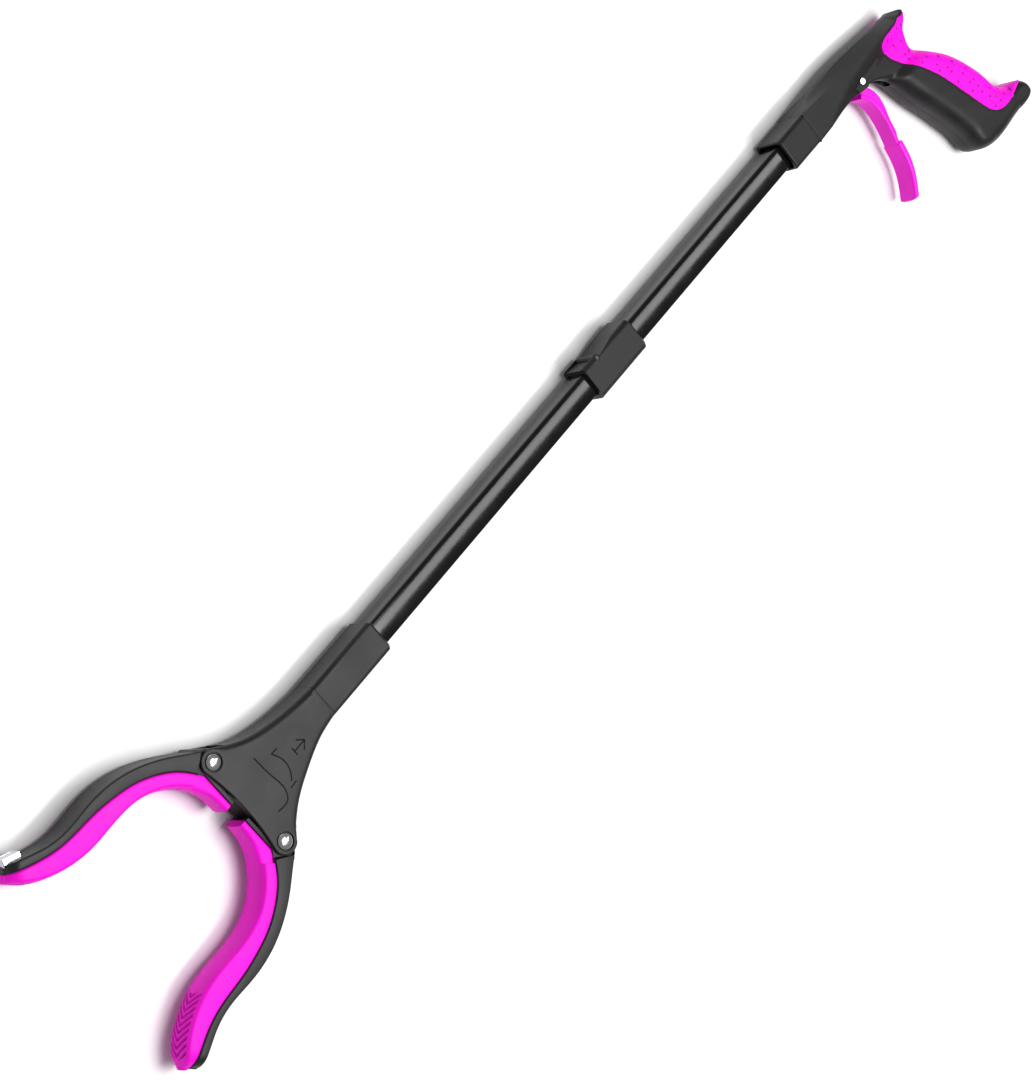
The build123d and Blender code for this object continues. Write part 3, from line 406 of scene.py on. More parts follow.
# %% strip maker
def strip(outer, inner, half, corner, crown=0.0, bow=0.0, end_round=0.0, side_steps=24, relief=None):
    """Bar between two edge curves: a rounded rectangle, half high each way, from the outer to the inner curve.

    Across the bar a runs 0..width. The inner face sinks by crown * (z / half)^2, and by relief(s, z) where given.
    bow pushes the middle of each section along the bar by bow(s) * 4 a (width - a) / width^2.
    """
    outer, inner = np.asarray(outer, float), np.asarray(inner, float)
    n = len(outer)
    middle = (outer + inner) / 2
    s = np.concatenate([[0], np.cumsum(np.linalg.norm(np.diff(middle, axis=0), axis=1))])
    width = np.linalg.norm(inner - outer, axis=1)
    across = (inner - outer) / width[:, None]
    along = np.gradient(middle, axis=0)
    along /= np.linalg.norm(along, axis=1)[:, None]
    half = np.broadcast_to(np.asarray(half, float), (n,))
    q = np.radians(np.linspace(0, 90, 6))
    # each entry: which edge it hangs on (0 outer, 1 inner), its shift across, and its z as share and shift
    edge_in = [(1, -corner * (1 - math.sin(t)), 1, -corner * (1 - math.cos(t))) for t in q]
    face_in = [(1, 0.0, f, -corner * f) for f in np.linspace(1, -1, side_steps)[1:-1]]
    edge_in_low = [(1, -corner * (1 - math.cos(t)), -1, corner * (1 - math.sin(t))) for t in q]
    edge_out_low = [(0, corner * (1 - math.sin(t)), -1, corner * (1 - math.cos(t))) for t in q]
    edge_out = [(0, corner * (1 - math.cos(t)), 1, -corner * (1 - math.sin(t))) for t in q]
    bars = [(0, 0.0, f, -corner * f) for f in np.linspace(-1, 1, 8)[1:-1]]
    table = np.array(edge_in + face_in + edge_in_low + edge_out_low + bars + edge_out)
    z = table[:, 2][None] * half[:, None] + table[:, 3][None]
    a = table[:, 0][None] * width[:, None] + table[:, 1][None]
    share = z / half[:, None]
    a = a - table[:, 0][None] * crown * share**2
    if relief is not None:
        a = a - (table[:, 0][None] > 0) * relief(s[:, None], z)
    push = np.zeros_like(a)
    if not np.isscalar(bow):
        push = bow(s)[:, None] * 4 * a * (width[:, None] - a) / width[:, None] ** 2
    xy = outer[:, None] + across[:, None] * a[..., None] + along[:, None] * push[..., None]
    rows = np.concatenate([xy, z[..., None]], -1)
    if end_round:
        t = np.radians(np.linspace(0, 80, 7))[1:]
        centre = np.append(middle[-1], 0.0)
        ahead = np.append(along[-1], 0.0)
        shrink = 1 - end_round * (1 - np.cos(t)) / min(half[-1], width[-1] / 2)
        reach_out = ahead * (end_round * np.sin(t))[:, None, None]
        tips = centre + (rows[-1] - centre)[None] * shrink[:, None, None] + reach_out
        rows = np.concatenate([rows, tips])
    r, c = rows.shape[:2]
    return rows.reshape(-1, 3), capped_grid(r, c)


def lifted(points):
    """The points raised from the mid-plane to their height above the yoke's underside."""
    return points + np.array([0.0, 0.0, MID])


def joined(*solids):
    """One list of points and faces from several solids."""
    points, faces, start = [], [], 0
    for p, f in solids:
        points.append(p)
        faces += [tuple(i + start for i in face) for face in f]
        start += len(p)
    return np.vstack(points), faces


print("tools ready")

# %% [markdown]
# ## Outlines of the jaws
# A jaw is drawn open, by its distance from the head's centre line. Three curves make it: the hard arm's back,
# the seat where the soft liner meets the arm, and the liner's inner face. One side mirrors the other.

# %% jaw curves
HEAD_SHIFT, PIVOT_HALF = 4.5, 29.0
BACK = [(-5.2, 33.7), (4.0, 40.2), (15.0, 48.4), (30.0, 57.2), (47.0, 62.8), (64.0, 64.2), (80.0, 63.8),
        (93.0, 66.2), (104.0, 70.6), (113.2, 74.2)]
SEAT = [(9.6, 29.3), (16.0, 38.2), (27.0, 47.3), (39.0, 53.2), (52.0, 56.6), (64.0, 58.4), (78.0, 59.2),
        (91.0, 60.9), (104.0, 65.2), (116.0, 70.5)]
INNER = [(12.4, 5.4), (13.4, 16.0), (17.4, 25.5), (24.4, 34.0), (34.0, 41.0), (44.0, 44.6), (54.0, 45.8),
         (66.0, 45.7), (79.0, 45.9), (92.0, 48.6), (104.0, 53.7), (113.5, 60.3), (119.3, 67.0)]
PIVOT = np.array([0.0, PIVOT_HALF])
SECTIONS = 150


def beyond(curve, centre, radius):
    """The part of a dense curve past its last point nearer to the centre than radius."""
    near = np.nonzero(np.linalg.norm(curve - centre, axis=1) < radius)[0]
    return curve[near[-1] + 1:] if len(near) else curve


def evened(curve, count):
    """The same curve with its points spread evenly over its length."""
    s = np.concatenate([[0], np.cumsum(np.linalg.norm(np.diff(curve, axis=0), axis=1))])
    t = np.linspace(0, s[-1], count)
    return np.stack([np.interp(t, s, curve[:, k]) for k in range(curve.shape[1])], 1)


def on_side(points, side):
    """Jaw coordinates (x, distance from the centre line, height) placed in the frame on one side."""
    turned = points.copy()
    turned[:, 1] = HEAD_SHIFT + side * points[:, 1]
    return lifted(turned)


back_curve = beyond(smooth_through(BACK, 900), PIVOT, 8.0)
seat_curve = smooth_through(SEAT, 900)
print("jaw curves:", len(back_curve), len(seat_curve))

# %% [markdown]
# ## Jaw arms
# The hard arm is a curved bar as thick as the yoke. Between the yoke's plates it narrows to a round boss on its
# rivet, and a forked tail reaches the slider. The bar's root is bowed round the boss, so the step between
# thick and thin follows a circle, as it must for the jaw to turn inside the yoke's lobe.

# %% jaw arms
ARM_HALF, NARROW_HALF = 10.4, 8.3
TAIL = [(7.4, 29.0), (7.4, 5.8), (5.2, 5.8), (5.2, 13.0), (-2.4, 15.6), (-4.4, 24.0)]


def root_bow(s):
    """Push of a section's middle: 4.6 mm at the root, gone after 16 mm."""
    return 4.6 * (1 - ease(s, 0.0, 16.0))


def spoon(length, half, tip, count):
    """Half thickness along a jaw: constant, then a blunt curve down over the last tip millimetres."""
    s = np.linspace(0, length, count)
    t = np.clip((s - (length - tip)) / (tip * 1.08), 0, 1)
    return half * np.sqrt(1 - t**2.4)


def run_length(a, b):
    """Length of the line half way between two edge curves."""
    return np.sum(np.linalg.norm(np.diff((a + b) / 2, axis=0), axis=1))


def arm_solids():
    """The arm's bar, its boss and the two cheeks of its tail."""
    a = evened(back_curve, SECTIONS)
    b = evened(seat_curve[8:], SECTIONS)
    bar = strip(a, b, spoon(run_length(a, b), ARM_HALF, 8.0, SECTIONS), 1.1, bow=root_bow, end_round=0.6)
    ring = arc_points(PIVOT, 7.0, 0, 360, 73)[:-1]
    boss = plate(ring, level(NARROW_HALF), level(-NARROW_HALF), 0.5, 2.5)
    cheeks = [plate(TAIL, level(h), level(l), 0.3, 2.5)
              for l, h in ((3.4, NARROW_HALF), (-NARROW_HALF, -3.4))]
    neck = [(0.5, 31.0), (-4.6, 34.2), (2.0, 40.2), (14.5, 40.5), (11.0, 31.5), (7.4, 27.0)]
    neck_block = plate(neck, level(NARROW_HALF), level(-NARROW_HALF), 0.3, 2.5)
    return joined(bar, boss, neck_block, *cheeks)


def outward_of(curve):
    """Unit normals of an open curve, on its right hand."""
    along = np.gradient(curve, axis=0)
    along /= np.linalg.norm(along, axis=1)[:, None]
    return np.stack([along[:, 1], -along[:, 0]], 1)


arm_points, arm_faces = arm_solids()
for name, side in {"left": -1, "right": 1}.items():
    arm = build_mesh("jaw_bar_" + name, on_side(arm_points, side), arm_faces, [black_plastic])
    place(arm, "jaw_" + name, "black_plastic", "jaw_arm_" + name)

# %% [markdown]
# ## Soft liners
# The liner is bonded to the arm and crowned, so it meets an object softly. At the tip it swells into a pad
# with V-shaped grooves that give grip. The grooves are part of the surface: a wave of the distance along the
# pad plus V_SLOPE times the height from the middle, which makes each groove a V that points to the tip. Their
# floors are painted a darker magenta: painted shade for the real shadow, lost from afar in so narrow a groove.

# %% jaw liners
CROWN, LINER_SECTIONS = 2.2, 420
PAD_GROOVES, GROOVE_DEEP, GROOVE_STEP, V_SLOPE = 9, 1.2, 3.8, 0.8
BAR_FROM_Y = 26.5            # the bar starts here; nearer the centre line the root takes over


def pad_relief(length):
    """Sink of the inner face near the tip: a wave whose phase is s + V_SLOPE * |z|."""
    first = length - PAD_GROOVES * GROOVE_STEP - 5.0

    def relief(s, z):
        phase = (s + V_SLOPE * np.abs(z)) / GROOVE_STEP
        wave = 0.5 - 0.5 * np.cos(2 * np.pi * phase)
        span = ease(s + 0 * z, first, first + 2.0) * (1 - ease(s + 0.35 * np.abs(z), length - 4.0, length - 2.0))
        return GROOVE_DEEP * span * wave**2 * (1 - ease(np.abs(z), 7.2, 8.4))
    return relief


def liner_edges():
    """Seat edge and inner edge of the liner's bar, the whole inner curve, and where on it the bar starts."""
    inner_all = smooth_through(INNER, 1200)
    start = np.nonzero(inner_all[:, 1] > BAR_FROM_Y)[0][0]
    seat_part = evened(smooth_through(SEAT, 900)[30:], LINER_SECTIONS)
    return seat_part, evened(inner_all[start:], LINER_SECTIONS), inner_all, start


def liner_solids():
    """The liner's bar, and its root between the yoke's plates."""
    seat_part, inner_part, inner_all, start = liner_edges()
    length = run_length(seat_part, inner_part)
    bar = strip(seat_part, inner_part, spoon(length, ARM_HALF - 0.05, 11.0, LINER_SECTIONS), 1.3, crown=CROWN,
                end_round=1.4, side_steps=44, relief=pad_relief(length))
    root_inner = evened(inner_all[: start + 60], 60)
    front = [(7.4, 5.8), (7.4, 27.0), (9.6, 31.0), (13.6, 36.0)]
    root = strip(evened(np.array(front), 60), root_inner, NARROW_HALF, 2.0, crown=1.0)
    return joined(bar, root)


def sink_of(points):
    """How deep each point of the liner lies in a groove: the relief worked out again from its nearest section."""
    seat_part, inner_part, _, _ = liner_edges()
    middle = (seat_part + inner_part) / 2
    s = np.concatenate([[0], np.cumsum(np.linalg.norm(np.diff(middle, axis=0), axis=1))])
    away = np.linalg.norm(points[:, None, :2] - inner_part[None], axis=2)
    relief = pad_relief(s[-1])
    return relief(s[np.argmin(away, axis=1)], points[:, 2]) * (np.min(away, axis=1) < 4.2)


liner_points, liner_faces = liner_solids()
liner_sink = sink_of(liner_points)
# painted shade: a darker magenta on the faces deep in each groove, standing in for the groove's shadow
painted_shade_in_grooves = finish_of("painted_shade_grooves_magenta", (0.50, 0.001, 0.36), (0.60, 0.002, 0.44), (0.55, 0.65), 0.2, 0.4,
                         extra={"Specular IOR Level": 0.1})
for name, side in {"left": -1, "right": 1}.items():
    liner = build_mesh("soft_liner_" + name, on_side(liner_points, side), liner_faces, [magenta_rubber, painted_shade_in_grooves])
    sunk = liner_sink[np.array([f[0] for f in liner_faces])] > 0.55 * GROOVE_DEEP
    liner.data.polygons.foreach_set("material_index", sunk.astype(np.int32))
    place(liner, "jaw_" + name, "magenta_soft", "jaw_liner_" + name)

# %% [markdown]
# ## Yoke
# The yoke is two moulded halves. Each is a plate with a side wall: the plate is an outline with a height, its
# rim strongly rounded along the flares, where a hand slides over it, and only a little at the front edge between
# the jaws. A round pocket takes each rivet head. The inside is hollow, so the same outline also has a height from
# below. Known fault: a thin strip of wall is left standing behind the front edge.

# %% yoke halves
X_SEAM, LOBE_R, YOKE_HALF, PLATE_IN = -67.5, 7.2, 10.5, 8.6
YOKE_WALL, SEAM_BLOCK_TO, FRONT_OPEN_FROM = 2.2, -61.0, 2.5
POCKET_R, POCKET_DEEP, BOSS_ROOM = 5.05, 1.0, 4.0
FLARE_RIGHT = [(-67.5, 10.0), (-55.0, 11.8), (-38.0, 17.6), (-20.0, 26.4), (-5.3, 38.2)]
FLARE_LEFT = [(-67.5, -10.0), (-55.0, -11.2), (-38.0, -14.2), (-20.0, -20.2), (-5.3, -29.4)]
LOBES = np.array([[0.0, HEAD_SHIFT - PIVOT_HALF], [0.0, HEAD_SHIFT + PIVOT_HALF]])


def yoke_loop():
    """Closed outline: seam, left flare, left lobe, shallow front arc, right lobe, right flare."""
    left, right = smooth_through(FLARE_LEFT, 60), smooth_through(FLARE_RIGHT, 60)
    lobe_left = arc_points(LOBES[0], LOBE_R, 223, 360, 40)
    lobe_right = arc_points(LOBES[1], LOBE_R, 0, 137, 40)
    y = np.linspace(LOBES[0][1], LOBES[1][1], 50)[1:-1]
    front = np.stack([LOBE_R - 3.0 * (1 - ((y - HEAD_SHIFT) / PIVOT_HALF) ** 2), y], 1)
    seam_y = np.linspace(10.0, -10.0, 14)[1:-1]
    seam = np.stack([np.full(12, X_SEAM), seam_y], 1)
    return np.vstack([left, lobe_left, front, lobe_right, right[::-1], seam])


yoke_rim = yoke_loop()
pocket_rings = np.vstack([arc_points(c, r, 0, 360, 61)[:-1] for c in LOBES for r in (4.95, 5.2)])


def yoke_top(p):
    """Plate height: 10.5, less a millimetre inside each rivet's pocket."""
    near = np.min(np.linalg.norm(p[:, None] - LOBES[None], axis=2), axis=1)
    return YOKE_HALF - POCKET_DEEP * (near < POCKET_R)


def yoke_floor(p):
    """Underside: at the seam where the wall stands, and up against the plate inside the hollow."""
    wall = gap_to(p, yoke_rim)
    near = np.min(np.linalg.norm(p[:, None] - LOBES[None], axis=2), axis=1)
    hollow = ((wall > YOKE_WALL) & (p[:, 0] > SEAM_BLOCK_TO)) | (p[:, 0] > FRONT_OPEN_FROM)
    hollow |= near < LOBE_R + BOSS_ROOM
    return np.where(hollow, PLATE_IN, 0.06)


def yoke_round(loop):
    """Rim radius: 3.1 mm along the flares, 0.7 mm round the lobes and the front edge, nearly sharp at the seam."""
    flares = 1 - ease(loop[:, 0], -12.0, -4.0)
    on_seam = (loop[:, 0] < X_SEAM + 0.01) & (np.abs(loop[:, 1]) < 9.9)
    return np.where(on_seam, 0.25, 0.7 + 2.4 * flares)


yoke_points, yoke_faces = plate(yoke_rim, yoke_top, yoke_floor, yoke_round, 2.0, extra=pocket_rings)
for name, up in {"front": 1, "rear": -1}.items():
    half_points = yoke_points * np.array([1, 1, up])
    shell = build_mesh("yoke_shell_" + name, lifted(half_points), yoke_faces, [black_plastic])
    place(shell, "head", "black_plastic", "yoke_" + name)

# %% [markdown]
# ## Handle
# The handle is two moulded halves. Its outline turns from the straight housing into the grip. A sloping face
# along the top edge ends in a sharp ridge, a second face falls away above the trigger, and the grip is rounded
# like an oval. The sloping face is a wide straight rim; the rest is one height worked out from the place in the
# outline.

# %% handle outline
HOUSING_HALF, GRIP_HALF, X_SHELLS = 11.75, 13.25, -538.0
TOP_EDGE = [(-538.0, -10.25), (-560.0, -11.9), (-582.0, -12.3), (-604.0, -10.9), (-626.0, -8.4), (-643.0, -6.4)]
BEAK = [(-647.6, -4.4), (-647.0, -1.4)]
PALM = [(-640.6, 6.0), (-638.4, 14.0), (-646.4, 26.0), (-657.0, 37.6), (-665.0, 51.5), (-670.0, 64.5),
        (-673.0, 74.4), (-678.0, 79.6), (-686.0, 82.6)]
HEEL = [(-692.6, 87.0), (-693.6, 94.4)]
BUTT = [(-676.0, 99.2), (-658.0, 100.4), (-643.0, 98.8), (-635.0, 93.8)]
FINGER_SIDE = [(-633.2, 84.0), (-629.8, 72.0), (-625.4, 60.0), (-619.0, 45.0), (-614.6, 32.0), (-609.0, 20.0)]
UNDERSIDE = [(-600.0, 13.0), (-590.0, 11.0), (-577.0, 9.6), (-560.0, 9.6), (-538.0, 10.25)]
RIDGE = np.array([(-530.0, -11.4), (-538.8, -10.4), (-618.3, -4.2), (-650.0, -3.0)])
FOLD_LINE = np.array([(-538.0, 12.5), (-550.9, 9.6), (-565.9, 3.7), (-588.2, -0.8), (-619.5, -3.0), (-650.0, -3.2)])
OVERLAY_EDGE = [(-643.0, -9.0), (-640.0, -3.6), (-628.0, -1.8), (-617.0, 1.4), (-617.4, 7.0), (-627.6, 23.6),
                (-639.8, 44.0), (-646.4, 60.0), (-652.0, 74.0), (-657.4, 83.4), (-668.0, 87.4), (-684.0, 84.4),
                (-700.0, 80.0)]
handle_rim = evened(smooth_through([*TOP_EDGE, *BEAK, *PALM, *HEEL, *BUTT, *FINGER_SIDE, *UNDERSIDE], 3000), 420)
seam_line = np.stack([np.full(14, X_SHELLS), np.linspace(10.25, -10.25, 16)[1:-1]], 1)
handle_loop = counter_clockwise(np.vstack([handle_rim, seam_line]))


def line_y(line, x):
    """Height y of a broken line at x."""
    order = np.argsort(line[:, 0])
    return np.interp(x, line[order, 0], line[order, 1])


def handle_top(p):
    """Half thickness: housing to grip, less the fall of the face beyond the fold line."""
    x, y = p[:, 0], p[:, 1]
    grip = ease(y + 0.25 * (-600.0 - x), 14.0, 34.0)
    beyond_fold = np.maximum(y - line_y(FOLD_LINE, x), 0) * (1 - ease(y, 12.0, 26.0))
    fall = np.minimum(0.42 * beyond_fold, 3.6)
    waist = 1.1 * np.exp(-((y - 24.0) / 10.0) ** 2) * (1 - ease(x, -625.0, -600.0))
    narrow = 3.2 * ease(-x, 618.0, 650.0) * (1 - ease(y, -4.0, 12.0))
    return HOUSING_HALF + (GRIP_HALF - HOUSING_HALF) * grip - fall - waist * 0.6 - narrow


def convex_limit(loop, share=0.8):
    """Largest inset that stays inside each convex bend: share of the bend's radius, spread to its neighbours."""
    d1 = (np.roll(loop, -3, 0) - np.roll(loop, 3, 0)) / 2
    d2 = np.roll(loop, -3, 0) - 2 * loop + np.roll(loop, 3, 0)
    bend = (d1[:, 0] * d2[:, 1] - d1[:, 1] * d2[:, 0]) / (np.sum(d1**2, 1) ** 1.5 + 1e-9)
    limit = np.where(bend > 1e-3, share / np.maximum(bend, 1e-3), 99.0)
    for _ in range(3):
        limit = np.min([np.roll(limit, k) for k in range(-5, 6)], axis=0)
    for _ in range(4):
        limit = np.mean([np.roll(limit, k) for k in range(-4, 5)], axis=0)
    return limit


def on_top_edge(loop):
    """1 along the sloping face of the top edge, fading to 0 round the beak."""
    x, y = loop[:, 0], loop[:, 1]
    return (y < line_y(RIDGE, x) + 0.5) * ease(-x, 538.2, 539.5) * (1 - ease(-x, 642.0, 648.0))


def handle_inset(loop):
    """Width of the rounded or sloping rim."""
    x, y = loop[:, 0], loop[:, 1]
    slope = np.maximum(line_y(RIDGE, x) - y, 0.4)
    edge = on_top_edge(loop)
    grip = ease(y + 0.25 * (-600.0 - x), 14.0, 30.0)
    free = 1.6 + 6.6 * grip
    free = np.where(x > X_SHELLS - 0.5, 0.3, free)
    return np.minimum(edge * slope + (1 - edge) * free, convex_limit(loop) + 0.4)


def handle_drop(loop):
    """Depth of the rounded or sloping rim."""
    x, y = loop[:, 0], loop[:, 1]
    edge = on_top_edge(loop)
    grip = ease(y + 0.25 * (-600.0 - x), 14.0, 30.0)
    free = 1.8 + 7.4 * grip
    free = np.where(x > X_SHELLS - 0.5, 0.3, free)
    return edge * 9.5 * ease(-x, 536.0, 556.0) + edge * 0.8 * (1 - ease(-x, 536.0, 556.0)) + (1 - edge) * free


# %% overlay outline
overlay_curve = evened(smooth_through(OVERLAY_EDGE, 2000), 260)
overlay_zone = np.vstack([overlay_curve, [(-720.0, 60.0), (-720.0, -20.0), (-643.0, -20.0)]])
rim_hit = np.nonzero(inside(handle_rim, overlay_zone) & (handle_rim[:, 1] > -3.4))[0]
palm_part = handle_rim[rim_hit[0]:rim_hit[-1] + 1]
edge_part = overlay_curve[inside(overlay_curve, handle_loop) & (gap_to(overlay_curve, handle_loop) > 0.8)]
edge_part = edge_part[edge_part[:, 1] > -3.7]
overlay_loop = counter_clockwise(evened(np.vstack([palm_part, edge_part[::-1], palm_part[:1]]), 360)[:-1])
print("overlay outline:", len(overlay_loop), "points")


def under_overlay(p):
    """1 where the soft overlay lies on the shells."""
    return inside(p, overlay_loop) & (gap_to(p, overlay_loop) > 0.4)


# %% handle shells
CAVITY = np.array([(-550.0, -7.5), (-556.0, -9.2), (-604.0, -8.8), (-620.0, -6.0), (-622.0, 2.0), (-604.0, 8.4),
                   (-556.0, 7.5), (-550.0, 7.5), (-550.0, 7.5)])
PIN_AT, SLOT_R = np.array([-589.0, 5.4]), 29.5
OVERLAY_SINK, PIN_WELL_DEEP, PIN_WELL_R = 0.7, 0.35, 2.35


def handle_floor(p):
    """Underside of a half: the seam, the hollow round the trigger's hub, and the slot for its web."""
    slot = (np.linalg.norm(p - PIN_AT, axis=1) < SLOT_R) & (p[:, 1] > 4.0) & (p[:, 0] < -577.0)
    room = inside(p, CAVITY) | (np.linalg.norm(p - PIN_AT, axis=1) < 7.0)
    tube = (p[:, 0] > -551.5) & (np.abs(p[:, 1]) < 8.4)
    return np.where(room | tube, 9.2, np.where(slot, 3.5, 0.12))


def shell_top(p):
    """The handle's height, sunk under the overlay, with a shallow well round the trigger's pin."""
    well = PIN_WELL_DEEP * (np.linalg.norm(p - PIN_AT, axis=1) < PIN_WELL_R)
    return handle_top(p) - OVERLAY_SINK * under_overlay(p) - well


covered = inside(handle_loop - outward(handle_loop) * 0.3, overlay_loop) * 1.0
covered = np.mean([np.roll(covered, k) for k in (-1, 0, 1)], axis=0)
shell_loop = handle_loop - outward(handle_loop) * (OVERLAY_SINK * covered)[:, None]
pin_rings = np.vstack([arc_points(PIN_AT, r, 0, 360, 33)[:-1] for r in (2.25, 2.45)])
ridge_points = np.stack([np.linspace(-541.0, -640.0, 90), line_y(FOLD_LINE, np.linspace(-541.0, -640.0, 90))], 1)
ridge_points = ridge_points[gap_to(ridge_points, handle_loop) > 1.0]
shell_points, shell_faces = plate(shell_loop, shell_top, handle_floor, handle_inset, 2.0,
                                  extra=np.vstack([pin_rings, ridge_points]), rim_steps=9, drop=handle_drop,
                                  facet=on_top_edge)
for name, up in {"front": 1, "rear": -1}.items():
    half_points = lifted(shell_points * np.array([1, 1, up]))
    shell = build_mesh("grip_shell_" + name, half_points, shell_faces, [black_plastic], smooth_deg=28.0)
    place(shell, "handle", "black_plastic", "handle_shell_" + name)

# %% [markdown]
# ## Soft overlay
# The palm side of the grip is covered by a soft skin, moulded over the shells and standing a little proud of
# them, with small scattered dimples that keep a wet hand from sliding. The dimples are sunk in the surface and,
# like the grooves of the pads, are painted a darker magenta inside: painted shade for their shadow.

# %% overlay
rng = np.random.default_rng(7)


def dimple_places():
    """Scattered places: a jittered lattice kept well inside the overlay's flank."""
    xs, ys = np.meshgrid(np.arange(-690, -618, 6.2), np.arange(-4, 90, 6.2), indexing="ij")
    spots = np.stack([xs, ys], -1).reshape(-1, 2) + rng.uniform(-1.7, 1.7, (xs.size, 2))
    return spots[inside(spots, overlay_loop) & (gap_to(spots, overlay_loop) > 2.6)]


dimples = dimple_places()
DIMPLE_R, DIMPLE_DEEP = 0.85, 0.6
DIMPLE_RINGS = (0.45, DIMPLE_R)
dimple_rings = np.vstack([np.vstack([d[None]] + [arc_points(d, r, 0, 360, 9)[:-1] for r in DIMPLE_RINGS])
                          for d in dimples])


def overlay_top(p):
    """The handle's height with a round dimple at every place."""
    near = np.min(np.linalg.norm(p[:, None] - dimples[None], axis=2), axis=1)
    return handle_top(p) + 0.1 - DIMPLE_DEEP * (1 - ease(near, 0.3, DIMPLE_R))


def overlay_inset(loop):
    """Rounded like the grip along the palm, and by half a millimetre at the edge on the shell."""
    palm_side = ease(gap_to(loop, overlay_curve, closed=False), 0.3, 4.0)
    return np.minimum(0.5 + palm_side * np.maximum(handle_inset(loop) - 0.5, 0.6), convex_limit(loop, 0.7) + 0.4)


def overlay_drop(loop):
    """As deep as the grip's own rounding along the palm."""
    palm_side = ease(gap_to(loop, overlay_curve, closed=False), 0.3, 4.0)
    return 0.5 + palm_side * np.maximum(handle_drop(loop) - 0.5, 0.6)


skin_points, skin_faces = plate(overlay_loop, overlay_top, level(0.02), overlay_inset, 1.8,
                                extra=dimple_rings, rim_steps=9, drop=overlay_drop)
both = joined((lifted(skin_points), skin_faces),
              (lifted(skin_points * np.array([1, 1, -1])), [tuple(reversed(f)) for f in skin_faces]))
# painted shade: a darker magenta on the faces inside each dimple on the grip's flanks, standing in for its shadow
painted_shade_in_dimples = finish_of("painted_shade_dimples_magenta", (0.34, 0.002, 0.26), (0.42, 0.003, 0.32), (0.5, 0.6), 0.2, 0.4,
                         extra={"Specular IOR Level": 0.2})
skin = build_mesh("palm_skin", both[0], both[1], [magenta_rubber, painted_shade_in_dimples], smooth_deg=50.0)
centres = np.zeros(len(skin.data.polygons) * 3)
skin.data.polygons.foreach_get("center", centres)
centres = centres.reshape(-1, 3) / MM
in_dimple = np.min(np.linalg.norm(centres[:, None, :2] - dimples[None], axis=2), axis=1) < DIMPLE_R
skin.data.polygons.foreach_set("material_index", (in_dimple & (np.abs(centres[:, 2] - MID) > 4)).astype(np.int32))
place(skin, "handle", "magenta_soft", "grip_overlay")

# %% [markdown]
# ## Trigger
# The trigger is one moulding: a hub on its pin, a web that swings in the handle's slot, a curved blade and a
# thicker, wider pad for the fingers. Blade and pad are bars along their front curves.

# %% trigger
LEVER_FRONT = [(-584.8, 14.2), (-587.6, 17.2), (-589.9, 22.4), (-590.6, 29.0), (-589.2, 41.0), (-586.4, 52.0)]
PAD_FRONT = [(-586.6, 51.0), (-584.8, 61.0), (-580.6, 71.5), (-573.4, 81.8)]
WEB = [(-585.2, 2.6), (-584.4, 6.0), (-586.6, 12.0), (-589.8, 19.0), (-591.0, 30.0), (-590.0, 41.0), (-588.6, 49.0),
       (-591.2, 49.6), (-595.8, 39.7), (-598.3, 31.0), (-598.4, 18.0), (-593.6, 7.5), (-593.0, 3.0)]


def offset_back(curve, thick_start, thick_end):
    """The curve moved to its hidden side by a thickness that changes evenly along it."""
    t = np.linspace(thick_start, thick_end, len(curve))[:, None]
    return curve - np.abs(outward_of(curve)) * np.array([1.0, -0.35]) * t


def offset_square(curve, thickness):
    """The curve moved by the thickness along its true normal, away from the fingers."""
    run = np.gradient(curve, axis=0)
    run /= np.linalg.norm(run, axis=1)[:, None]
    return curve - thickness * np.stack([run[:, 1], -run[:, 0]], 1)


lever = smooth_through(LEVER_FRONT, 90)
pad = smooth_through(PAD_FRONT, 60)
blade_bar = strip(lever, offset_square(lever, 3.0), 6.0, 0.9, end_round=0.6)
pad_bar = strip(pad, offset_back(pad, 4.6, 5.0), 7.4, 1.6, end_round=1.9)
WEB_HALF, CORD_GAP_HALF = 2.8, 1.45
web_loop = evened(smooth_through([*WEB, WEB[0]], 400), 120)[:-1]
web_plate = plate(web_loop, level(WEB_HALF), level(-WEB_HALF), 0.35, 2.0)
hub_ring = arc_points(PIN_AT, 4.75, 0, 360, 61)[:-1]
hub = plate(hub_ring, level(WEB_HALF), level(-WEB_HALF), 0.3, 2.0)
arm_loop = [(-593.4, -8.2), (-589.2, -8.6), (-586.2, 2.4), (-591.6, 3.6)]
arms = [plate(arm_loop, level(h), level(l), 0.3, 2.0)
        for l, h in ((CORD_GAP_HALF, WEB_HALF), (-WEB_HALF, -CORD_GAP_HALF))]
trigger_points, trigger_faces = joined(blade_bar, pad_bar, web_plate, hub, *arms)
trigger_piece = build_mesh("finger_trigger", lifted(trigger_points), trigger_faces, [magenta_plastic])
place(trigger_piece, "trigger", "magenta_plastic", "trigger")

# %% [markdown]
# ## Square tube
# A drawn square tube has slightly crowned faces and rounded corners. The crown is only a quarter of a
# millimetre, but it is what turns a long light into a band along one side of each face instead of a flat glare.
# A ring of the section is a rounded square whose points are drawn in by crown * (other coordinate / half)^2.

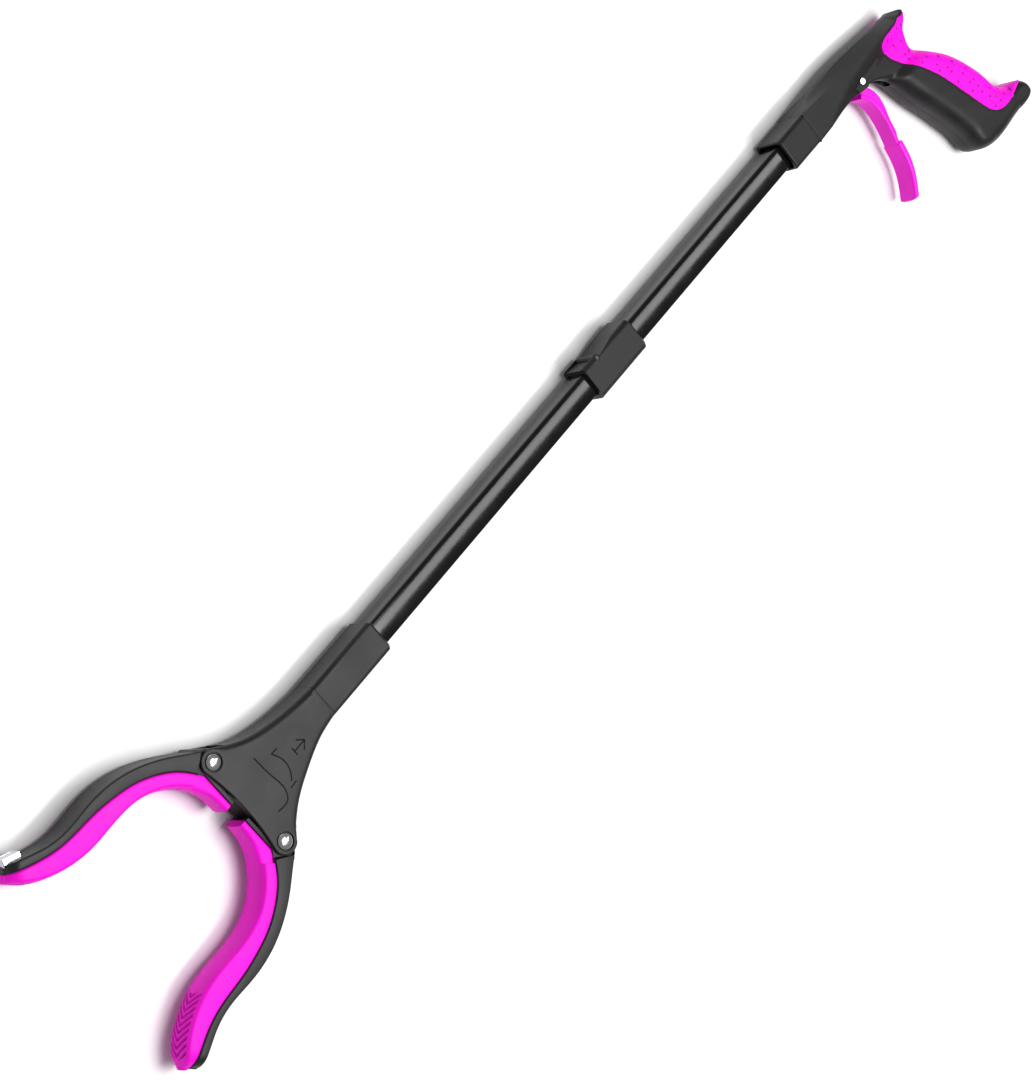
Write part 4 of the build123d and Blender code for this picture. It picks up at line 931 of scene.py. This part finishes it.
# %% tube and sleeve sections
def square_ring(half_y, half_z, corner, crown, side=14, turn=7):
    """Points of a crowned rounded rectangle, counter-clockwise seen from +X."""
    t = np.radians(np.linspace(0, 90, turn))
    quarter = np.stack([half_y - corner + corner * np.cos(t), half_z - corner + corner * np.sin(t)], 1)
    flat = np.linspace(half_y - corner, corner - half_y, side)[1:-1]
    upright = np.linspace(half_z - corner, corner - half_z, side)[1:-1]
    ring = np.vstack([
        quarter,
        np.stack([flat, np.full(side - 2, half_z)], 1),
        quarter[::-1] * [-1, 1],
        np.stack([np.full(side - 2, -half_y), upright], 1),
        quarter * [-1, -1],
        np.stack([-flat, np.full(side - 2, -half_z)], 1),
        quarter[::-1] * [1, -1],
        np.stack([np.full(side - 2, half_y), -upright], 1),
    ])
    y, z = ring[:, 0] / half_y, ring[:, 1] / half_z
    return np.stack([ring[:, 0] * (1 - crown / half_y * z**2), ring[:, 1] * (1 - crown / half_z * y**2)], 1)


def hollow_run(stations):
    """Closed wall through stations (x, half_y, half_z, corner, crown): out along the skin and back along the bore."""
    rows = [np.column_stack([np.full(len(r), x), r]) for x, r in
            ((st[0], square_ring(*st[1:])) for st in stations)]
    count, width = len(rows), len(rows[0])
    faces = grid_faces(count, width)
    last, cols = (count - 1) * width, np.arange(width)
    nxt = (cols + 1) % width
    faces += [tuple(q) for q in np.stack([last + cols, last + nxt, nxt, cols], 1).tolist()]
    return np.vstack(rows), faces


CROWN_OF_TUBE = 0.26
for name, start, end, body in (("rear", -549.9, -334.1, "handle"), ("front", -318.9, -92.1, "shaft")):
    skin_at = [(x, 7.5, 7.5, 1.5, CROWN_OF_TUBE) for x in np.linspace(start, end, 24)]
    bore_at = [(x, 6.5, 6.5, 1.0, CROWN_OF_TUBE) for x in (end, start)]
    tube_points, tube_faces = hollow_run(skin_at + bore_at)
    tube = build_mesh("shaft_tube_" + name, lifted(tube_points), tube_faces, [tube_black])
    place(tube, body, "tube_black", name + "_tube")

# %% [markdown]
# ## Softened mouldings
# Neck, ferrule, fold collar and knuckle are right in size, but a moulded edge is never razor sharp. A merged
# copy of each gets a small rounded bevel, which catches a thin line of light along the edge.

# %% softened copies
def softened(node, name, width, segments=3, angle=28.0):
    """Copy of a CAD node: merged, flat faces joined, then its edges rounded by a bevel modifier."""
    copy = bpy.data.meshes.new(name)
    work = bmesh.new()
    work.from_mesh(frame["nodes"][node].data)
    bmesh.ops.remove_doubles(work, verts=work.verts, dist=2e-6)
    bmesh.ops.dissolve_limit(work, angle_limit=math.radians(1.0), verts=work.verts, edges=work.edges)
    work.to_mesh(copy)
    work.free()
    copy.materials.clear()
    copy.materials.append(frame["nodes"][node].data.materials[0])
    copy.shade_smooth()
    copy.set_sharp_from_angle(angle=math.radians(40))
    piece = bpy.data.objects.new(name, copy)
    bpy.context.scene.collection.objects.link(piece)
    bevel = piece.modifiers.new("edge_round", "BEVEL")
    bevel.width, bevel.segments, bevel.limit_method = width * MM, segments, "ANGLE"
    bevel.angle_limit = math.radians(angle)
    bevel.harden_normals = True
    even = piece.modifiers.new("even_shading", "WEIGHTED_NORMAL")
    even.weight, even.keep_sharp = 100, True
    return piece


place(softened("neck_socket", "neck_sleeve", 0.7), "shaft", "black_plastic", "neck_socket")
place(softened("handle_ferrule", "handle_mouth", 0.35), "handle", "black_plastic", "handle_ferrule")
place(softened("fold_collar", "fold_sleeve", 0.5), "handle", "black_plastic", "fold_collar")
place(softened("fold_knuckle", "fold_knuckle_body", 0.3), "shaft", "black_plastic", "fold_knuckle")

# %% [markdown]
# ## Turn marks
# Thin dark lines on the yoke tell the user which way the head turns: a plain bracket, an arc and an arrow. They
# stand for engraved lines, but nothing is cut: each is a narrow bar laid along its curve, which stands
# MARK_PROUD above the plate and is painted near-black as painted shadow of an engraved groove.

# %% marks on the yoke
MARK_WIDE, MARK_PROUD = 0.75, 0.03
# painted shadow: the near-black finish of the bars stands in for the shadow inside engraved grooves
painted_shadow_marks = finish_of("groove_shadow", (0.003, 0.003, 0.003), (0.005, 0.005, 0.005), (0.6, 0.7), 0.1, 0.5,
                      extra={"Specular IOR Level": 0.1})
MARKS = [
    smooth_through([(-17.5, -9.5), (-18.2, 4.0), (-18.6, 15.6), (-16.6, 19.2), (-8.0, 19.8)], 60),
    smooth_through([(-26.0, -3.6), (-28.6, 3.0), (-27.6, 10.4), (-24.4, 14.6)], 40),
    np.array([(-30.4, -3.4), (-26.0, -3.6)]),
    np.array([(-26.6, 16.4), (-21.6, 16.8)]),
    np.array([(-36.5, 5.2), (-44.5, 5.2)]),
    np.array([(-36.5, 2.6), (-36.5, 7.8)]),
    np.array([(-41.0, 1.6), (-45.0, 5.2), (-41.0, 8.8)]),
]


def mark_bar(curve):
    """Flat-topped bar MARK_WIDE across that follows a short curve and stands MARK_PROUD above the plate."""
    line = evened(curve, 24)
    side = outward_of(line) * MARK_WIDE / 2
    points, faces = strip(line - side, line + side, 0.2, 0.03, side_steps=4)
    return points + np.array([0, 0, YOKE_HALF + MARK_PROUD - 0.2]), faces


mark_points, mark_faces = joined(*[mark_bar(m) for m in MARKS])
marks = build_mesh("turn_marks", lifted(mark_points), mark_faces, [painted_shadow_marks])
place(marks, "head", "black_plastic")

# %% [markdown]
# ## Rivets
# A rivet's head is a low dome, so it mirrors the room as a soft gradient and not as one flat patch. The dome is
# a turned profile: circles whose radius and height follow a quarter ellipse.

# %% turned pieces
def turned(centre, profile, count=48):
    """Surface of revolution about a line along Z: one circle of points per (radius, height), poles closed."""
    t = np.linspace(0, 2 * np.pi, count, endpoint=False)
    rings = np.array([[(centre[0] + r * math.cos(u), centre[1] + r * math.sin(u), z) for u in t] for r, z in profile])
    return rings.reshape(-1, 3), capped_grid(len(profile), count)


def rivet_profile():
    """Rear head, shank and domed front head of a jaw rivet."""
    t = np.radians(np.linspace(0, 88, 12))
    dome = [(4.55 * math.cos(u), 9.75 + 2.15 * math.sin(u)) for u in t]
    return [(4.0, -10.42), (4.5, -10.2), (4.6, -9.52), (2.0, -9.5), (2.0, 9.5), (4.4, 9.52)] + dome


for name, at in {"left": LOBES[0], "right": LOBES[1]}.items():
    rivet_points, rivet_faces = turned(at, rivet_profile())
    rivet = build_mesh("domed_rivet_" + name, lifted(rivet_points), rivet_faces, [polished_steel])
    place(rivet, "head", "steel", "jaw_rivet_" + name)

# %% [markdown]
# ## Cord at the fold
# The cord bends where the shaft folds. Here a short straight piece of it lies across the fold on the shaft's
# centre line, hung on neither half.

# %% cord at the fold
X_FOLD, CORD_R = -326.0, 0.75


def round_bar(start, end, radius, steps=24, count=16):
    """Closed round bar along X from start to end on the shaft's centre line."""
    t = np.linspace(0, 2 * np.pi, count, endpoint=False)
    xs = np.linspace(start, end, steps)
    rings = np.array([np.stack([np.full(count, x), radius * np.cos(t), radius * np.sin(t)], 1) for x in xs])
    return rings.reshape(-1, 3), capped_grid(steps, count)


bend_points, bend_faces = round_bar(X_FOLD - 1.5, X_FOLD + 5.0, CORD_R)
bend = build_mesh("cord_bend", lifted(bend_points), bend_faces, [cord_braid])
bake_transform(bend)
print("cord bend", len(bend_faces), "faces")
